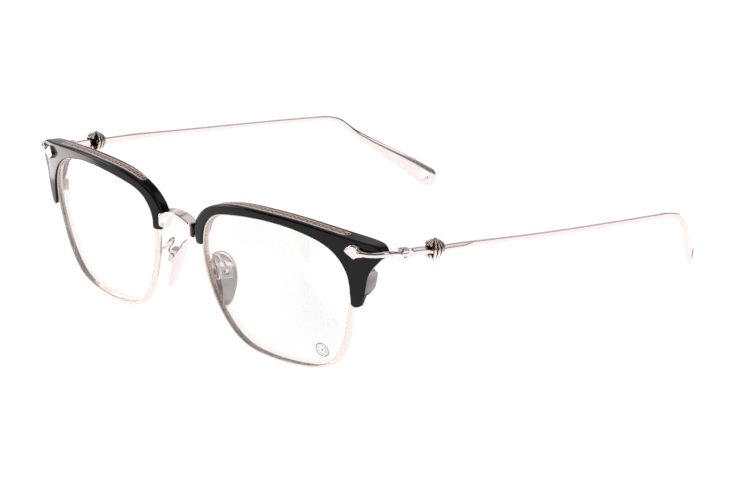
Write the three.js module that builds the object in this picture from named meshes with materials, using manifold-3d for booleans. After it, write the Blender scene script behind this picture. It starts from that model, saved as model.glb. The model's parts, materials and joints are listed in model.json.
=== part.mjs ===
// Half rim eyeglasses: acetate brows over metal eyewires, on thin metal temples.
// Millimetres, +Z up, front facing -Y, resting on the eyewires and the temple tips at z = 0.
// "left" is the wearer's left, on the +X side. Every left piece is mirrored to make the right one.
import * as THREE from 'three';
import { mergeVertices } from 'three/addons/utils/BufferGeometryUtils.js';
import Module from 'manifold-3d';

const wasm = await Module();
wasm.setup();

// Where a lens sits: its centre, and how the front is wrapped, tilted and curved.
const LENS_CENTRE = new THREE.Vector3(35.73, -74.12, 21.2);
const WRAP = THREE.MathUtils.degToRad(6.8);
const PANTOSCOPIC_TILT = THREE.MathUtils.degToRad(6.6);
const FACE_CURVE = 120;

// Eyewire and lens, in depth behind the face curve and in distance from the lens opening.
const WIRE_FRONT = 0.2;
const WIRE_BACK = 2.1;
const WIRE_WIDTH = 1.0;
const BEVEL_DEPTH = 0.5;
const LENS_EDGE_GAP = 0.15;
const LENS_BEVEL_GAP = 0.22;
const LENS_THICKNESS = 1.5;
const OPENING_STEPS = 60;

// Acetate brow.
const BROW_STEPS_PER_ROW = 2;
const GROOVE_GAP = 0.2;
const INLAY_WIDTH = 2.3;
const INLAY_THICKNESS = 0.5;
const INLAY_CENTRE_DEPTH = 2.1;
const INLAY_GAP = 0.12;
const INLAY_SINK = 0.05;
const INLAY_START_SHARE = 0.125;
const INLAY_END_SHARE = 0.905;

// Strap of the endpiece: half its width and height, and how much taller it grows where it joins the fork.
const STRAP_HALF_WIDTH = 0.72;
const STRAP_HALF_HEIGHT = 0.76;
const STRAP_FLARE = 0.9;
const STRAP_GAP = 0.2;

// Hinge: a fork on the front and a tongue on the temple, turning on an upright screw with a sunk head.
const HINGE_AXIS = new THREE.Vector2(68.8, -57.7);
const HINGE_CENTRE_Z = 35.5;
const FORK_HEIGHT = 2.7;
const FORK_RADIUS = 1.55;
const FORK_REACH = 1.62;
const LEAF_INNER = -0.85;
const LEAF_OUTER = 1.25;
const TONGUE_HEIGHT = 0.95;
const LEAF_GAP = 0.15;
const SCREW_RADIUS = 0.55;
const SCREW_GAP = 0.12;
const SCREW_HEAD_RADIUS = 0.85;
const SCREW_HEAD_HEIGHT = 0.3;

// Closing block of the eyewire: where it stands on the front, and its size.
const RIM_LOCK = { u: 27.3, v: 5.7, back: 4.4, width: 2, depth: 2, height: 3.2 };
const RIM_LOCK_TURN = WRAP + RIM_LOCK.u / FACE_CURVE;
const RIM_LOCK_GAP = 0.2;

// Temple.
const KNOT_CENTRE = new THREE.Vector3(69.9, -47.65, 34.9);
const KNOT_HALF_LENGTH = 2.85;
const KNOT_HALF_WIDTH = 2.55;
const KNOT_HALF_HEIGHT = 2.8;
const KNOT_RIBS = 16;
const KNOT_GROOVE_SHARE = 0.12;
const KNOT_BORE_HALF_WIDTH = 1.15;
const KNOT_BORE_HALF_HEIGHT = 1.5;
const TIP_WIDTH = 6.0;
const TIP_HOLE_RADIUS = 1.5;
const TIP_HOLE_INSET = 1.2;

// Nose pad: centre, the direction up its length, and the direction across it towards the face.
const PAD_CENTRE = new THREE.Vector3(9.6, -67.5, 16.5);
const PAD_UP = new THREE.Vector3(-0.267, 0.113, 0.957).normalize();
const PAD_BACK = new THREE.Vector3(0.44, 0.9, 0.016).normalize();
const PAD_LENGTH = 15.2;
const PAD_WIDTH = 8.2;
const PAD_BOX_SIZE = 3.4;
const PAD_BOX_WALL = 0.55;
const PAD_BOX_HEIGHT = 1.9;
const PAD_BOX_ACROSS = 0.45;
const PAD_BOX_UP = 1.8;
const PAD_BOX_FLOOR = 0.6;
const PAD_SCREW_Z = PAD_BOX_FLOOR + PAD_BOX_HEIGHT * 0.6;
const PAD_SCREW_RADIUS = 0.3;
const PAD_SCREW_HOLE_RADIUS = 0.42;
const ARM_RADIUS = 0.42;
const ARM_BLOCK = new THREE.Vector3(1.5, 1.5, 1.1);

// Bridge: its front, the strap's depth, slope and thickness, and the plates down the brows' legs.
const BRIDGE_FRONT = -76.4;
const BRIDGE_DEPTH = 2.5;
const BRIDGE_SLOPE = 0.95;
const BRIDGE_THICKNESS = 1.5;
const BRIDGE_EDGE = 0.35;
const PLATE_INNER_X = 5.8;
const PLATE_THICKNESS = 0.75;
const PLATE_TOP = 33.2;

function metal(colour, roughness) {
  return new THREE.MeshStandardMaterial({ color: colour, roughness, metalness: 1 });
}

const polishedMetal = metal(0xd9d3cf, 0.16);
const wireMetal = metal(0xc9bcae, 0.34);
const roseMetal = metal(0xe2c3b0, 0.32);
const oxidisedMetal = metal(0x8f8171, 0.42);
const screwMetal = metal(0xbfb9b4, 0.28);
const acetate = new THREE.MeshStandardMaterial({ color: 0x141314, roughness: 0.18, metalness: 0 });
const clearLens = new THREE.MeshStandardMaterial({
  color: 0xf4f7f8, roughness: 0.03, metalness: 0, transparent: true, opacity: 0.16,
});

// A point of the wrapped front: u runs outward from the lens centre, v up, depth backwards.
function onFront(u, v, depth) {
  const sag = (u * u + v * v) / (2 * FACE_CURVE);
  return new THREE.Vector3(
    LENS_CENTRE.x + u * Math.cos(WRAP),
    LENS_CENTRE.y + u * Math.sin(WRAP) + sag - v * Math.sin(PANTOSCOPIC_TILT) + depth,
    LENS_CENTRE.z + v * Math.cos(PANTOSCOPIC_TILT),
  );
}

function geometryOf(points, faces) {
  const geometry = new THREE.BufferGeometry();
  const numbers = points.flatMap((p) => p.toArray());
  geometry.setAttribute('position', new THREE.Float32BufferAttribute(numbers, 3));
  geometry.setIndex(faces.flat());
  return geometry;
}

function signedVolume(geometry) {
  const position = geometry.getAttribute('position');
  const index = geometry.getIndex().array;
  const corner = [new THREE.Vector3(), new THREE.Vector3(), new THREE.Vector3()];
  let volume = 0;
  for (let i = 0; i < index.length; i += 3) {
    corner.forEach((c, k) => c.fromBufferAttribute(position, index[i + k]));
    volume += corner[0].dot(corner[1].clone().cross(corner[2])) / 6;
  }
  return volume;
}

function turnInsideOut(geometry) {
  const index = geometry.getIndex().array;
  for (let i = 0; i < index.length; i += 3) {
    [index[i], index[i + 1]] = [index[i + 1], index[i]];
  }
  return geometry;
}

function facingOut(geometry) {
  return signedVolume(geometry) < 0 ? turnInsideOut(geometry) : geometry;
}

// Joins sections of equal point counts; open ends are capped from the middle of the section.
function skin(sections, closedLoop = false) {
  const count = sections[0].length;
  const points = sections.flat().map((p) => p.clone());
  const faces = [];
  const spans = closedLoop ? sections.length : sections.length - 1;
  for (let s = 0; s < spans; s += 1) {
    const here = s * count;
    const next = ((s + 1) % sections.length) * count;
    for (let i = 0; i < count; i += 1) {
      const j = (i + 1) % count;
      faces.push([here + i, next + i, next + j], [here + i, next + j, here + j]);
    }
  }
  if (!closedLoop) {
    for (const [section, flip] of [[0, false], [sections.length - 1, true]]) {
      const middle = new THREE.Vector3();
      sections[section].forEach((p) => middle.addScaledVector(p, 1 / count));
      const hub = points.push(middle) - 1;
      for (let i = 0; i < count; i += 1) {
        const a = section * count + i;
        const b = section * count + ((i + 1) % count);
        faces.push(flip ? [hub, b, a] : [hub, a, b]);
      }
    }
  }
  return facingOut(geometryOf(points, faces));
}

function toManifold(geometry) {
  const bare = geometry.clone();
  bare.deleteAttribute('normal');
  bare.deleteAttribute('uv');
  const merged = mergeVertices(bare, 1e-5);
  return new wasm.Manifold(new wasm.Mesh({
    numProp: 3,
    vertProperties: new Float32Array(merged.getAttribute('position').array),
    triVerts: new Uint32Array(merged.getIndex().array),
  }));
}

function fromManifold(solid) {
  const mesh = solid.getMesh();
  const geometry = new THREE.BufferGeometry();
  const positions = new Float32Array(mesh.vertProperties);
  geometry.setAttribute('position', new THREE.BufferAttribute(positions, 3));
  geometry.setIndex(new THREE.BufferAttribute(new Uint32Array(mesh.triVerts), 1));
  return geometry;
}

function cut(geometry, ...tools) {
  let solid = toManifold(geometry);
  for (const tool of tools) {
    solid = solid.subtract(toManifold(tool));
  }
  return fromManifold(solid);
}

function join(...parts) {
  let solid = toManifold(parts[0]);
  for (const part of parts.slice(1)) {
    solid = solid.add(toManifold(part));
  }
  return fromManifold(solid);
}

function mirrored(geometry) {
  return turnInsideOut(geometry.clone().scale(-1, 1, 1));
}

function upright(radius, height, x, y, z, steps = 24) {
  return new THREE.CylinderGeometry(radius, radius, height, steps).rotateX(Math.PI / 2).translate(x, y, z);
}

// A section with rounded corners: each corner is [x, y, radius].
function roundedSection(corners, steps = 3) {
  const out = [];
  corners.forEach(([x, y, radius], i) => {
    const here = new THREE.Vector2(x, y);
    const [before, after] = [-1, 1].map((step) => {
      const [nx, ny] = corners[(i + step + corners.length) % corners.length];
      const to = new THREE.Vector2(nx, ny).sub(here);
      const reach = Math.min(radius, to.length() * 0.45);
      return here.clone().addScaledVector(to.normalize(), reach);
    });
    for (let s = 0; s <= steps; s += 1) {
      const t = s / steps;
      const onArc = before.clone().multiplyScalar((1 - t) ** 2);
      onArc.addScaledVector(here, 2 * t * (1 - t)).addScaledVector(after, t * t);
      out.push(onArc);
    }
  });
  return out;
}

function flatCurve(points, closed) {
  const flat = points.map(([u, v]) => new THREE.Vector3(u, v, 0));
  return new THREE.CatmullRomCurve3(flat, closed, 'centripetal');
}

// The opening of the eyewire as seen from the front, from the temple side round over the nose.
const lensOpening = flatCurve([
  [25.3, 5.6], [24.9, 9], [23.4, 12.4], [20.4, 15], [16.9, 16.6], [9, 18.4], [-2, 18.9], [-12.7, 17.8],
  [-19.2, 16.4], [-23.6, 13.2], [-25.2, 9.4], [-25.6, 5], [-24.9, 0], [-22.9, -6.6], [-20, -12.1],
  [-16.1, -16.6], [-11.2, -19.1], [-4, -20.2], [4.2, -20.2], [11.5, -19.3], [16.6, -17], [19.8, -13.2],
  [22, -8.6], [23.6, -2.8], [24.8, 2],
], true);

// One step round the opening: its point and the way out of the lens there.
function openingStep(step, steps) {
  const here = lensOpening.getPointAt(step / steps);
  const along = lensOpening.getTangentAt(step / steps);
  return { here, outward: new THREE.Vector2(along.y, -along.x) };
}

// Sections (distance outward, depth) carried round the lens opening and laid on the front.
function roundTheOpening(section, steps) {
  const sections = [];
  for (let s = 0; s < steps; s += 1) {
    const { here, outward } = openingStep(s, steps);
    sections.push(section.map(([out, depth]) => (
      onFront(here.x + outward.x * out, here.y + outward.y * out, depth))));
  }
  return skin(sections, true);
}

function makeEyewire() {
  const middle = (WIRE_FRONT + WIRE_BACK) / 2;
  return roundTheOpening([
    [0, WIRE_FRONT], [0, middle - BEVEL_DEPTH], [BEVEL_DEPTH, middle], [0, middle + BEVEL_DEPTH],
    [0, WIRE_BACK], [WIRE_WIDTH, WIRE_BACK - 0.2], [WIRE_WIDTH, WIRE_FRONT + 0.2],
    [WIRE_WIDTH * 0.6, WIRE_FRONT],
  ], OPENING_STEPS);
}

// The lens as rings from the middle of its front over its bevelled edge to the middle of its back.
function makeLens() {
  const middle = (WIRE_FRONT + WIRE_BACK) / 2;
  const ring = (scale, offset, depth) => {
    const points = [];
    for (let s = 0; s < OPENING_STEPS; s += 1) {
      const { here, outward } = openingStep(s, OPENING_STEPS);
      points.push(onFront(here.x * scale + outward.x * offset, here.y * scale + outward.y * offset, depth));
    }
    return points;
  };
  const face = (depth) => [0.3, 0.6, 0.85].map((scale) => ring(scale, 0, depth));
  const front = middle - LENS_THICKNESS / 2;
  const back = middle + LENS_THICKNESS / 2;
  return skin([
    ...face(front),
    ring(1, -LENS_EDGE_GAP, front),
    ring(1, BEVEL_DEPTH - LENS_BEVEL_GAP, middle),
    ring(1, -LENS_EDGE_GAP, back),
    ...face(back).reverse(),
  ]);
}

// The brow, row by row from the nose leg over the lens to the temple leg:
// inner edge (u, v), outer edge (u, v), depth at the inner and the outer edge,
// and how far the back is set in from the outer edge.
const browRows = [
  [-25.7, 8.2, -29, 8.2, 0.9, 0.9, 0],
  [-25.65, 9.2, -29.2, 9.5, 1.5, 1.5, 0],
  [-25.5, 10.2, -29.2, 10.9, 3, 3, 0],
  [-24.9, 11.8, -28.7, 12.8, 3.1, 3.1, 0],
  [-23.9, 13.4, -27.3, 14.9, 3.1, 3.1, 0],
  [-22.3, 15.1, -25.2, 16.8, 3.2, 3.2, 0],
  [-20.1, 16.4, -22.6, 18.3, 3.4, 3.4, 0],
  [-17.2, 17.4, -19, 19.6, 3.8, 3.8, 0],
  [-12.8, 18.2, -14.2, 20.7, 4.3, 4.3, 0],
  [-8, 18.8, -8.8, 21.25, 4.6, 4.6, 0],
  [-2, 19.2, -2.4, 21.45, 4.7, 4.7, 0],
  [4, 19.15, 4.6, 21.4, 4.7, 4.7, 0],
  [9, 18.7, 11, 21.05, 4.7, 4.7, 0],
  [13.4, 17.9, 17, 20.4, 4.6, 4.7, 0],
  [17.2, 16.8, 23, 19.6, 4.4, 4.8, 0],
  [20.2, 15.3, 28.8, 18.85, 4.1, 4.9, 0.3],
  [22.1, 13.8, 32.8, 18.3, 3.9, 4.2, 0.7],
  [23.4, 12.3, 34.4, 17.4, 3.9, 2.8, 0.3],
  [24.2, 11, 34.6, 15.9, 3.9, 2.6, 0.2],
  [24.8, 9.8, 33.9, 14.3, 3.9, 2.8, 1.8],
  [25.2, 8.6, 32.3, 12.4, 3.6, 3.5, 2.3],
  [25.4, 7.4, 30.9, 10, 2.6, 4.5, 2],
  [25.6, 5.8, 30.2, 7, 1.2, 4.7, 2],
  [25.6, 4.8, 29.8, 5.2, 1.0, 4.7, 2],
  [25.65, 4.0, 29.5, 4.3, 0.8, 1.6, 0.5],
  [25.7, 3.1, 29.1, 3.2, 0.7, 0.8, 0.1],
  [25.7, 1.9, 28.6, 1.8, 0.6, 0.7, 0.1],
];

// How far the brow's face stands in front of the face curve: a little more towards the temple.
function browFace(u) {
  return -0.35 - 0.25 * THREE.MathUtils.smoothstep(u, 18, 29);
}

function browSection([ui, vi, uo, vo, depthIn, depthOut, setIn]) {
  const across = new THREE.Vector2(uo - ui, vo - vi);
  const width = across.length();
  const corners = [
    [0, browFace(ui), 0.45], [width, browFace(uo), 0.9], [width - setIn, depthOut, 0.9], [0, depthIn, 0.5],
  ];
  return roundedSection(corners, 2).map((p) => {
    const share = p.x / width;
    return onFront(ui + across.x * share, vi + across.y * share, p.y);
  });
}

// Rows that round off the end of a leg beyond its last full row.
function legEnd(row, down) {
  const [ui, vi, uo, vo, ...rest] = row;
  const middle = [(ui + uo) / 2, (vi + vo) / 2];
  const half = [(uo - ui) / 2, (vo - vi) / 2];
  const reach = Math.hypot(...half);
  return [30, 55, 75, 86].map((degrees) => {
    const angle = THREE.MathUtils.degToRad(degrees);
    const [c, s] = [Math.cos(angle), Math.sin(angle) * reach * 0.75];
    return [
      middle[0] - half[0] * c + down[0] * s, middle[1] - half[1] * c + down[1] * s,
      middle[0] + half[0] * c + down[0] * s, middle[1] + half[1] * c + down[1] * s,
      ...rest,
    ];
  });
}

function smoothRows(rows) {
  const columns = [[0, 1], [2, 3], [4, 5], [6, 6]].map(([a, b]) => (
    flatCurve(rows.map((r) => [r[a], r[b]]), false)));
  const steps = (rows.length - 1) * BROW_STEPS_PER_ROW;
  const out = [];
  for (let s = 0; s <= steps; s += 1) {
    const [inner, outer, depth, setIn] = columns.map((curve) => curve.getPoint(s / steps));
    out.push([inner.x, inner.y, outer.x, outer.y, depth.x, depth.y, setIn.x]);
  }
  return out;
}

const browRowsSmooth = smoothRows(browRows);
const browTopEdge = flatCurve(browRows.slice(4, 16).map((r) => [r[2], r[3]]), false);

// A strip along the top edge of the brow with round ends: sunk by `sink`, standing out by `proud`.
function topStrip(width, sink, proud, grow) {
  const steps = 30;
  const whole = browTopEdge.getLength();
  const start = INLAY_START_SHARE - grow / whole;
  const end = INLAY_END_SHARE + grow / whole;
  const sections = [];
  for (let s = 0; s <= steps; s += 1) {
    const t = start + (end - start) * (0.5 - 0.5 * Math.cos((Math.PI * s) / steps));
    const here = browTopEdge.getPointAt(t);
    const along = browTopEdge.getTangentAt(t);
    const fromEnd = Math.min(t - start, end - t) * whole;
    const round = Math.min(1, fromEnd / (width / 2));
    const half = (width / 2) * Math.sqrt(Math.max(0.02, 1 - (1 - round) ** 2));
    const corners = [[-sink, -half], [-sink, half], [proud, half], [proud, -half]];
    sections.push(corners.map(([out, across]) => (
      onFront(here.x - along.y * out, here.y + along.x * out, INLAY_CENTRE_DEPTH + across))));
  }
  return skin(sections);
}

function makeInlay() {
  return topStrip(INLAY_WIDTH, INLAY_SINK + INLAY_THICKNESS, -INLAY_SINK, 0);
}

function strapPath() {
  const { x, y } = HINGE_AXIS;
  const z = HINGE_CENTRE_Z;
  return new THREE.CatmullRomCurve3([
    onFront(28.4, 15.9, -0.9),
    onFront(31, 15.85, -0.95),
    onFront(33.2, 16.1, -0.95),
    new THREE.Vector3(70.6, -65.3, z + 1.95),
    new THREE.Vector3(71, -63.4, z + 1.7),
    new THREE.Vector3(70.7, -61.3, z + 1),
    new THREE.Vector3(x + 0.9, y - 1.5, z + 0.15),
    new THREE.Vector3(x, y, z),
  ], false, 'centripetal');
}

function ovalSection(centre, along, up, halfWidth, halfHeight, sides) {
  const across = along.clone().cross(up).normalize();
  const height = across.clone().cross(along).normalize();
  const section = [];
  for (let i = 0; i < sides; i += 1) {
    const angle = (2 * Math.PI * i) / sides;
    section.push(centre.clone()
      .addScaledVector(across, halfWidth * Math.cos(angle))
      .addScaledVector(height, halfHeight * Math.sin(angle)));
  }
  return section;
}

// An oval section carried along a curve; size(t) gives its half width across and half height.
function ovalAlong(curve, steps, size, up, sides) {
  const sections = [];
  for (let s = 0; s <= steps; s += 1) {
    const t = s / steps;
    sections.push(ovalSection(curve.getPointAt(t), curve.getTangentAt(t), up, ...size(t), sides));
  }
  return skin(sections);
}

function strap(grow) {
  return ovalAlong(strapPath(), 22, (t) => {
    const flare = STRAP_FLARE * THREE.MathUtils.smoothstep(t, 0.72, 0.95);
    return [STRAP_HALF_WIDTH + grow, STRAP_HALF_HEIGHT + flare + grow];
  }, new THREE.Vector3(0, 0, 1), 10);
}

// The spear-shaped head of the strap, laid on the brow's face.
function spear(grow, front, back) {
  const outline = [
    [25, 16.1], [26.1, 17.35], [27.2, 18], [28.1, 17.8], [28.8, 17.05], [29.9, 16.5],
    [30, 15.1], [29, 14.85], [28.2, 14.55], [27.6, 14.2], [26.7, 14.75], [25.8, 15.35],
  ];
  const middle = new THREE.Vector2(27.7, 15.95);
  const fromMiddle = outline.map(([u, v]) => {
    const spoke = new THREE.Vector2(u, v).sub(middle);
    return spoke.setLength(spoke.length() + grow);
  });
  const layers = [[0.25, front], [0.75, front + 0.12], [1, front + 0.45], [1, back]];
  return skin(layers.map(([scale, depth]) => (
    fromMiddle.map((p) => onFront(middle.x + p.x * scale, middle.y + p.y * scale, depth)))));
}

function onHinge(radius, height, aboveCentre = 0) {
  return upright(radius, height, HINGE_AXIS.x, HINGE_AXIS.y, HINGE_CENTRE_Z + aboveCentre);
}

// A box from the hinge axis backwards: its reach, its inner and outer side, and its height.
function behindHinge(reach, inner, outer, height) {
  const box = new THREE.BoxGeometry(outer - inner, reach, height);
  return box.translate(HINGE_AXIS.x + (inner + outer) / 2, HINGE_AXIS.y + reach / 2, HINGE_CENTRE_Z);
}

// Spear, strap and a fork whose barrel runs back into square leaves above and below the tongue.
function makeEndpiece() {
  const slot = TONGUE_HEIGHT + 2 * LEAF_GAP;
  const leaves = behindHinge(FORK_REACH, LEAF_INNER, LEAF_OUTER, FORK_HEIGHT);
  return cut(
    join(spear(0, -1.45, -0.25), strap(0), onHinge(FORK_RADIUS, FORK_HEIGHT), leaves),
    onHinge(FORK_RADIUS + 0.3, slot),
    behindHinge(5, -3, 3, slot),
    behindHinge(5, -3, 3, 6).translate(0, FORK_REACH, 0),
    onHinge(SCREW_RADIUS + SCREW_GAP, FORK_HEIGHT + 2),
    onHinge(SCREW_HEAD_RADIUS + SCREW_GAP, 2 * (SCREW_HEAD_HEIGHT + SCREW_GAP), FORK_HEIGHT / 2),
  );
}

function makeHingeScrew() {
  const top = FORK_HEIGHT / 2;
  const shaftLength = FORK_HEIGHT - SCREW_HEAD_HEIGHT / 2;
  const screw = join(
    onHinge(SCREW_RADIUS, shaftLength, -SCREW_HEAD_HEIGHT / 4),
    onHinge(SCREW_HEAD_RADIUS, SCREW_HEAD_HEIGHT, top - SCREW_HEAD_HEIGHT / 2),
  );
  const slot = new THREE.BoxGeometry(3, 0.26, 0.3).rotateZ(0.5);
  return cut(screw, slot.translate(HINGE_AXIS.x, HINGE_AXIS.y, HINGE_CENTRE_Z + top));
}

// The closing block of the eyewire sits beside it in a pocket in the back of the brow.
function rimLockBlock(grow, backwards) {
  const block = new THREE.BoxGeometry(RIM_LOCK.width + grow, RIM_LOCK.depth + grow, RIM_LOCK.height + grow);
  block.translate(0, backwards, 0).rotateZ(RIM_LOCK_TURN);
  return block.translate(...onFront(RIM_LOCK.u, RIM_LOCK.v, RIM_LOCK.back - RIM_LOCK.depth / 2).toArray());
}

function rimLockCylinder(radius, length, backwards) {
  const rod = new THREE.CylinderGeometry(radius, radius, length, 20).translate(0, backwards, 0);
  rod.rotateZ(RIM_LOCK_TURN);
  return rod.translate(...onFront(RIM_LOCK.u, RIM_LOCK.v, RIM_LOCK.back).toArray());
}

function makeRimLock() {
  return cut(rimLockBlock(0, 0), rimLockCylinder(0.5, 2.4, -0.4), rimLockCylinder(0.85, 1, 0));
}

function makeRimLockScrew() {
  const screw = join(rimLockCylinder(0.38, 1.2, -0.7), rimLockCylinder(0.7, 0.3, -0.15));
  return cut(screw, rimLockSlot());
}

function rimLockSlot() {
  const slot = new THREE.BoxGeometry(2, 0.3, 0.25).rotateY(0.6).rotateZ(RIM_LOCK_TURN);
  return slot.translate(...onFront(RIM_LOCK.u, RIM_LOCK.v, RIM_LOCK.back).toArray());
}

function makeBrow() {
  const noseEnd = legEnd(browRowsSmooth[0], [0.08, -1]).reverse();
  const templeEnd = legEnd(browRowsSmooth[browRowsSmooth.length - 1], [-0.25, -0.97]);
  const body = skin([...noseEnd, ...browRowsSmooth, ...templeEnd].map(browSection));
  const groove = roundTheOpening([
    [-2, WIRE_FRONT - GROOVE_GAP], [-2, WIRE_BACK + GROOVE_GAP],
    [WIRE_WIDTH + GROOVE_GAP, WIRE_BACK + GROOVE_GAP], [WIRE_WIDTH + GROOVE_GAP, WIRE_FRONT - GROOVE_GAP],
  ], OPENING_STEPS);
  return cut(
    body,
    groove,
    topStrip(INLAY_WIDTH + 2 * INLAY_GAP, INLAY_SINK + INLAY_THICKNESS + INLAY_GAP, 2, INLAY_GAP),
    strap(STRAP_GAP),
    spear(STRAP_GAP, -1.6, -0.05),
    rimLockBlock(2 * RIM_LOCK_GAP, RIM_LOCK_GAP),
    rimLockBlock(2 * RIM_LOCK_GAP, RIM_LOCK.depth),
  );
}

// The temple from hinge to tip: centre line, half width across, half height.
const templeStations = [
  [68.85, -57.7, 35.45, 0.62, 0.6],
  [69, -56.5, 35.4, 0.72, 0.75],
  [69.15, -55.3, 35.35, 0.75, 1.05],
  [69.35, -53.6, 35.25, 0.75, 1.1],
  [69.65, -50.5, 35.05, 0.75, 0.95],
  [69.9, -47.6, 34.75, 0.75, 0.85],
  [70.2, -43.4, 34.2, 0.78, 1.15],
  [70.55, -36, 33.6, 0.74, 1.08],
  [70.85, -28, 32.75, 0.66, 0.85],
  [71.15, -18, 31.65, 0.6, 0.62],
  [71.4, -1.7, 29.85, 0.58, 0.56],
  [71.2, 20, 27.5, 0.58, 0.56],
  [70.6, 39, 25.4, 0.58, 0.58],
  [70.2, 45, 24.6, 0.58, 0.62],
  [69.7, 49.3, 23, 0.58, 0.75],
  [68.5, 54.2, 18.9, 0.58, 0.92],
  [66.4, 57.3, 16.3, 0.58, 1.2],
  [63.8, 60.8, 13.5, 0.58, 1.6],
  [59.1, 67.5, 8.3, 0.58, 2.35],
  [54.9, 73.7, 3.05, 0.58, TIP_WIDTH / 2],
];

const tipUp = new THREE.Vector3(-0.226, 0.487, 0.844);

// A nearly square section with softened corners; towardsTip turns it from upright to the tip's slope.
function templeSection(point, along, halfWidth, halfHeight, towardsTip) {
  const sides = 10;
  const up = new THREE.Vector3(0, 0, 1).lerp(tipUp, towardsTip).normalize();
  const across = along.clone().cross(up).normalize();
  const height = across.clone().cross(along).normalize();
  const section = [];
  for (let i = 0; i < sides; i += 1) {
    const angle = (2 * Math.PI * (i + 0.5)) / sides;
    const [c, s] = [Math.cos(angle), Math.sin(angle)];
    section.push(point.clone()
      .addScaledVector(across, halfWidth * Math.sign(c) * Math.abs(c) ** 0.5)
      .addScaledVector(height, halfHeight * Math.sign(s) * Math.abs(s) ** 0.7));
  }
  return section;
}

function templeBar() {
  const centre = templeStations.map(([x, y, z]) => new THREE.Vector3(x, y, z));
  const sizes = templeStations.map(([, , , w, h]) => new THREE.Vector3(w, h, 0));
  const path = new THREE.CatmullRomCurve3(centre, false, 'centripetal');
  const size = new THREE.CatmullRomCurve3(sizes, false, 'centripetal');
  const rows = (templeStations.length - 1) * 3;
  const sections = [];
  for (let s = 0; s <= rows; s += 1) {
    const t = s / rows;
    const { x, y } = size.getPoint(t);
    const towardsTip = THREE.MathUtils.smoothstep(t, 0.66, 0.84);
    sections.push(templeSection(path.getPoint(t), path.getTangent(t), x, y, towardsTip));
  }
  const last = path.getPoint(1);
  const along = path.getTangent(1);
  const { x: endWidth, y: endHeight } = size.getPoint(1);
  for (const degrees of [25, 45, 62, 76, 86]) {
    const angle = THREE.MathUtils.degToRad(degrees);
    const point = last.clone().addScaledVector(along, endHeight * Math.sin(angle));
    const width = endWidth * (0.55 + 0.45 * Math.cos(angle));
    sections.push(templeSection(point, along, width, endHeight * Math.cos(angle), 1));
  }
  return { bar: skin(sections), last, along };
}

function tipHole(last, along) {
  const across = along.clone().cross(tipUp).normalize();
  const hole = new THREE.CylinderGeometry(TIP_HOLE_RADIUS, TIP_HOLE_RADIUS, 6, 20);
  hole.applyQuaternion(new THREE.Quaternion().setFromUnitVectors(new THREE.Vector3(0, 1, 0), across));
  return hole.translate(...last.clone().addScaledVector(along, -TIP_HOLE_INSET).toArray());
}

function makeTemple() {
  const { bar, last, along } = templeBar();
  const roomForFork = cut(
    onHinge(FORK_RADIUS + 0.35, FORK_HEIGHT + 2),
    onHinge(FORK_RADIUS + 1, TONGUE_HEIGHT),
  );
  const shoulder = new THREE.BoxGeometry(1.5, 1.6, TONGUE_HEIGHT);
  shoulder.translate(HINGE_AXIS.x + 0.1, HINGE_AXIS.y + 1, HINGE_CENTRE_Z);
  const solid = join(cut(bar, roomForFork), onHinge(FORK_RADIUS - 0.05, TONGUE_HEIGHT), shoulder);
  return cut(solid, onHinge(SCREW_RADIUS + SCREW_GAP, 6), tipHole(last, along));
}

// The knot's own directions: along the temple, across it and up.
function knotFrame() {
  const along = new THREE.Vector3(0.06, 0.99, -0.12).normalize();
  const across = along.clone().cross(new THREE.Vector3(0, 0, 1)).normalize();
  return { along, across, height: across.clone().cross(along) };
}

// A ball of ribs that run from pole to pole, threaded on the temple.
function makeKnot() {
  const { along, across, height } = knotFrame();
  const turns = KNOT_RIBS * 4;
  const rows = 10;
  const sections = [];
  for (let r = 0; r <= rows; r += 1) {
    const latitude = THREE.MathUtils.degToRad(-80 + (160 * r) / rows);
    const section = [];
    for (let i = 0; i < turns; i += 1) {
      const angle = (2 * Math.PI * i) / turns;
      const wave = Math.abs(Math.sin((KNOT_RIBS * angle) / 2));
      const around = Math.cos(latitude) * (1 - KNOT_GROOVE_SHARE * (1 - wave));
      section.push(KNOT_CENTRE.clone()
        .addScaledVector(along, KNOT_HALF_LENGTH * around * Math.sin(angle))
        .addScaledVector(across, KNOT_HALF_WIDTH * around * Math.cos(angle))
        .addScaledVector(height, KNOT_HALF_HEIGHT * Math.sin(latitude)));
    }
    sections.push(section);
  }
  const line = new THREE.LineCurve3(
    KNOT_CENTRE.clone().addScaledVector(along, -2 * KNOT_HALF_LENGTH),
    KNOT_CENTRE.clone().addScaledVector(along, 2 * KNOT_HALF_LENGTH),
  );
  const bore = ovalAlong(line, 1, () => [KNOT_BORE_HALF_WIDTH, KNOT_BORE_HALF_HEIGHT], height, 16);
  return cut(skin(sections), bore);
}

function padMatrix() {
  const outward = PAD_BACK.clone().cross(PAD_UP).normalize();
  const up = outward.clone().cross(PAD_BACK).normalize();
  return new THREE.Matrix4().makeBasis(PAD_BACK, up, outward).setPosition(PAD_CENTRE);
}

// Pad outline: broad and round at the top, narrower at the foot.
function padPoint(angle, scale) {
  const y = (PAD_LENGTH / 2) * Math.sin(angle);
  const taper = 1 - 0.24 * (1 - Math.sin(angle)) ** 1.2 / 2;
  const lean = 0.45 * (1 - Math.sin(angle) ** 2);
  const side = Math.sign(Math.cos(angle)) * Math.abs(Math.cos(angle)) ** 0.85;
  return [((PAD_WIDTH / 2) * side * taper + lean) * scale, y * scale];
}

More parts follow.
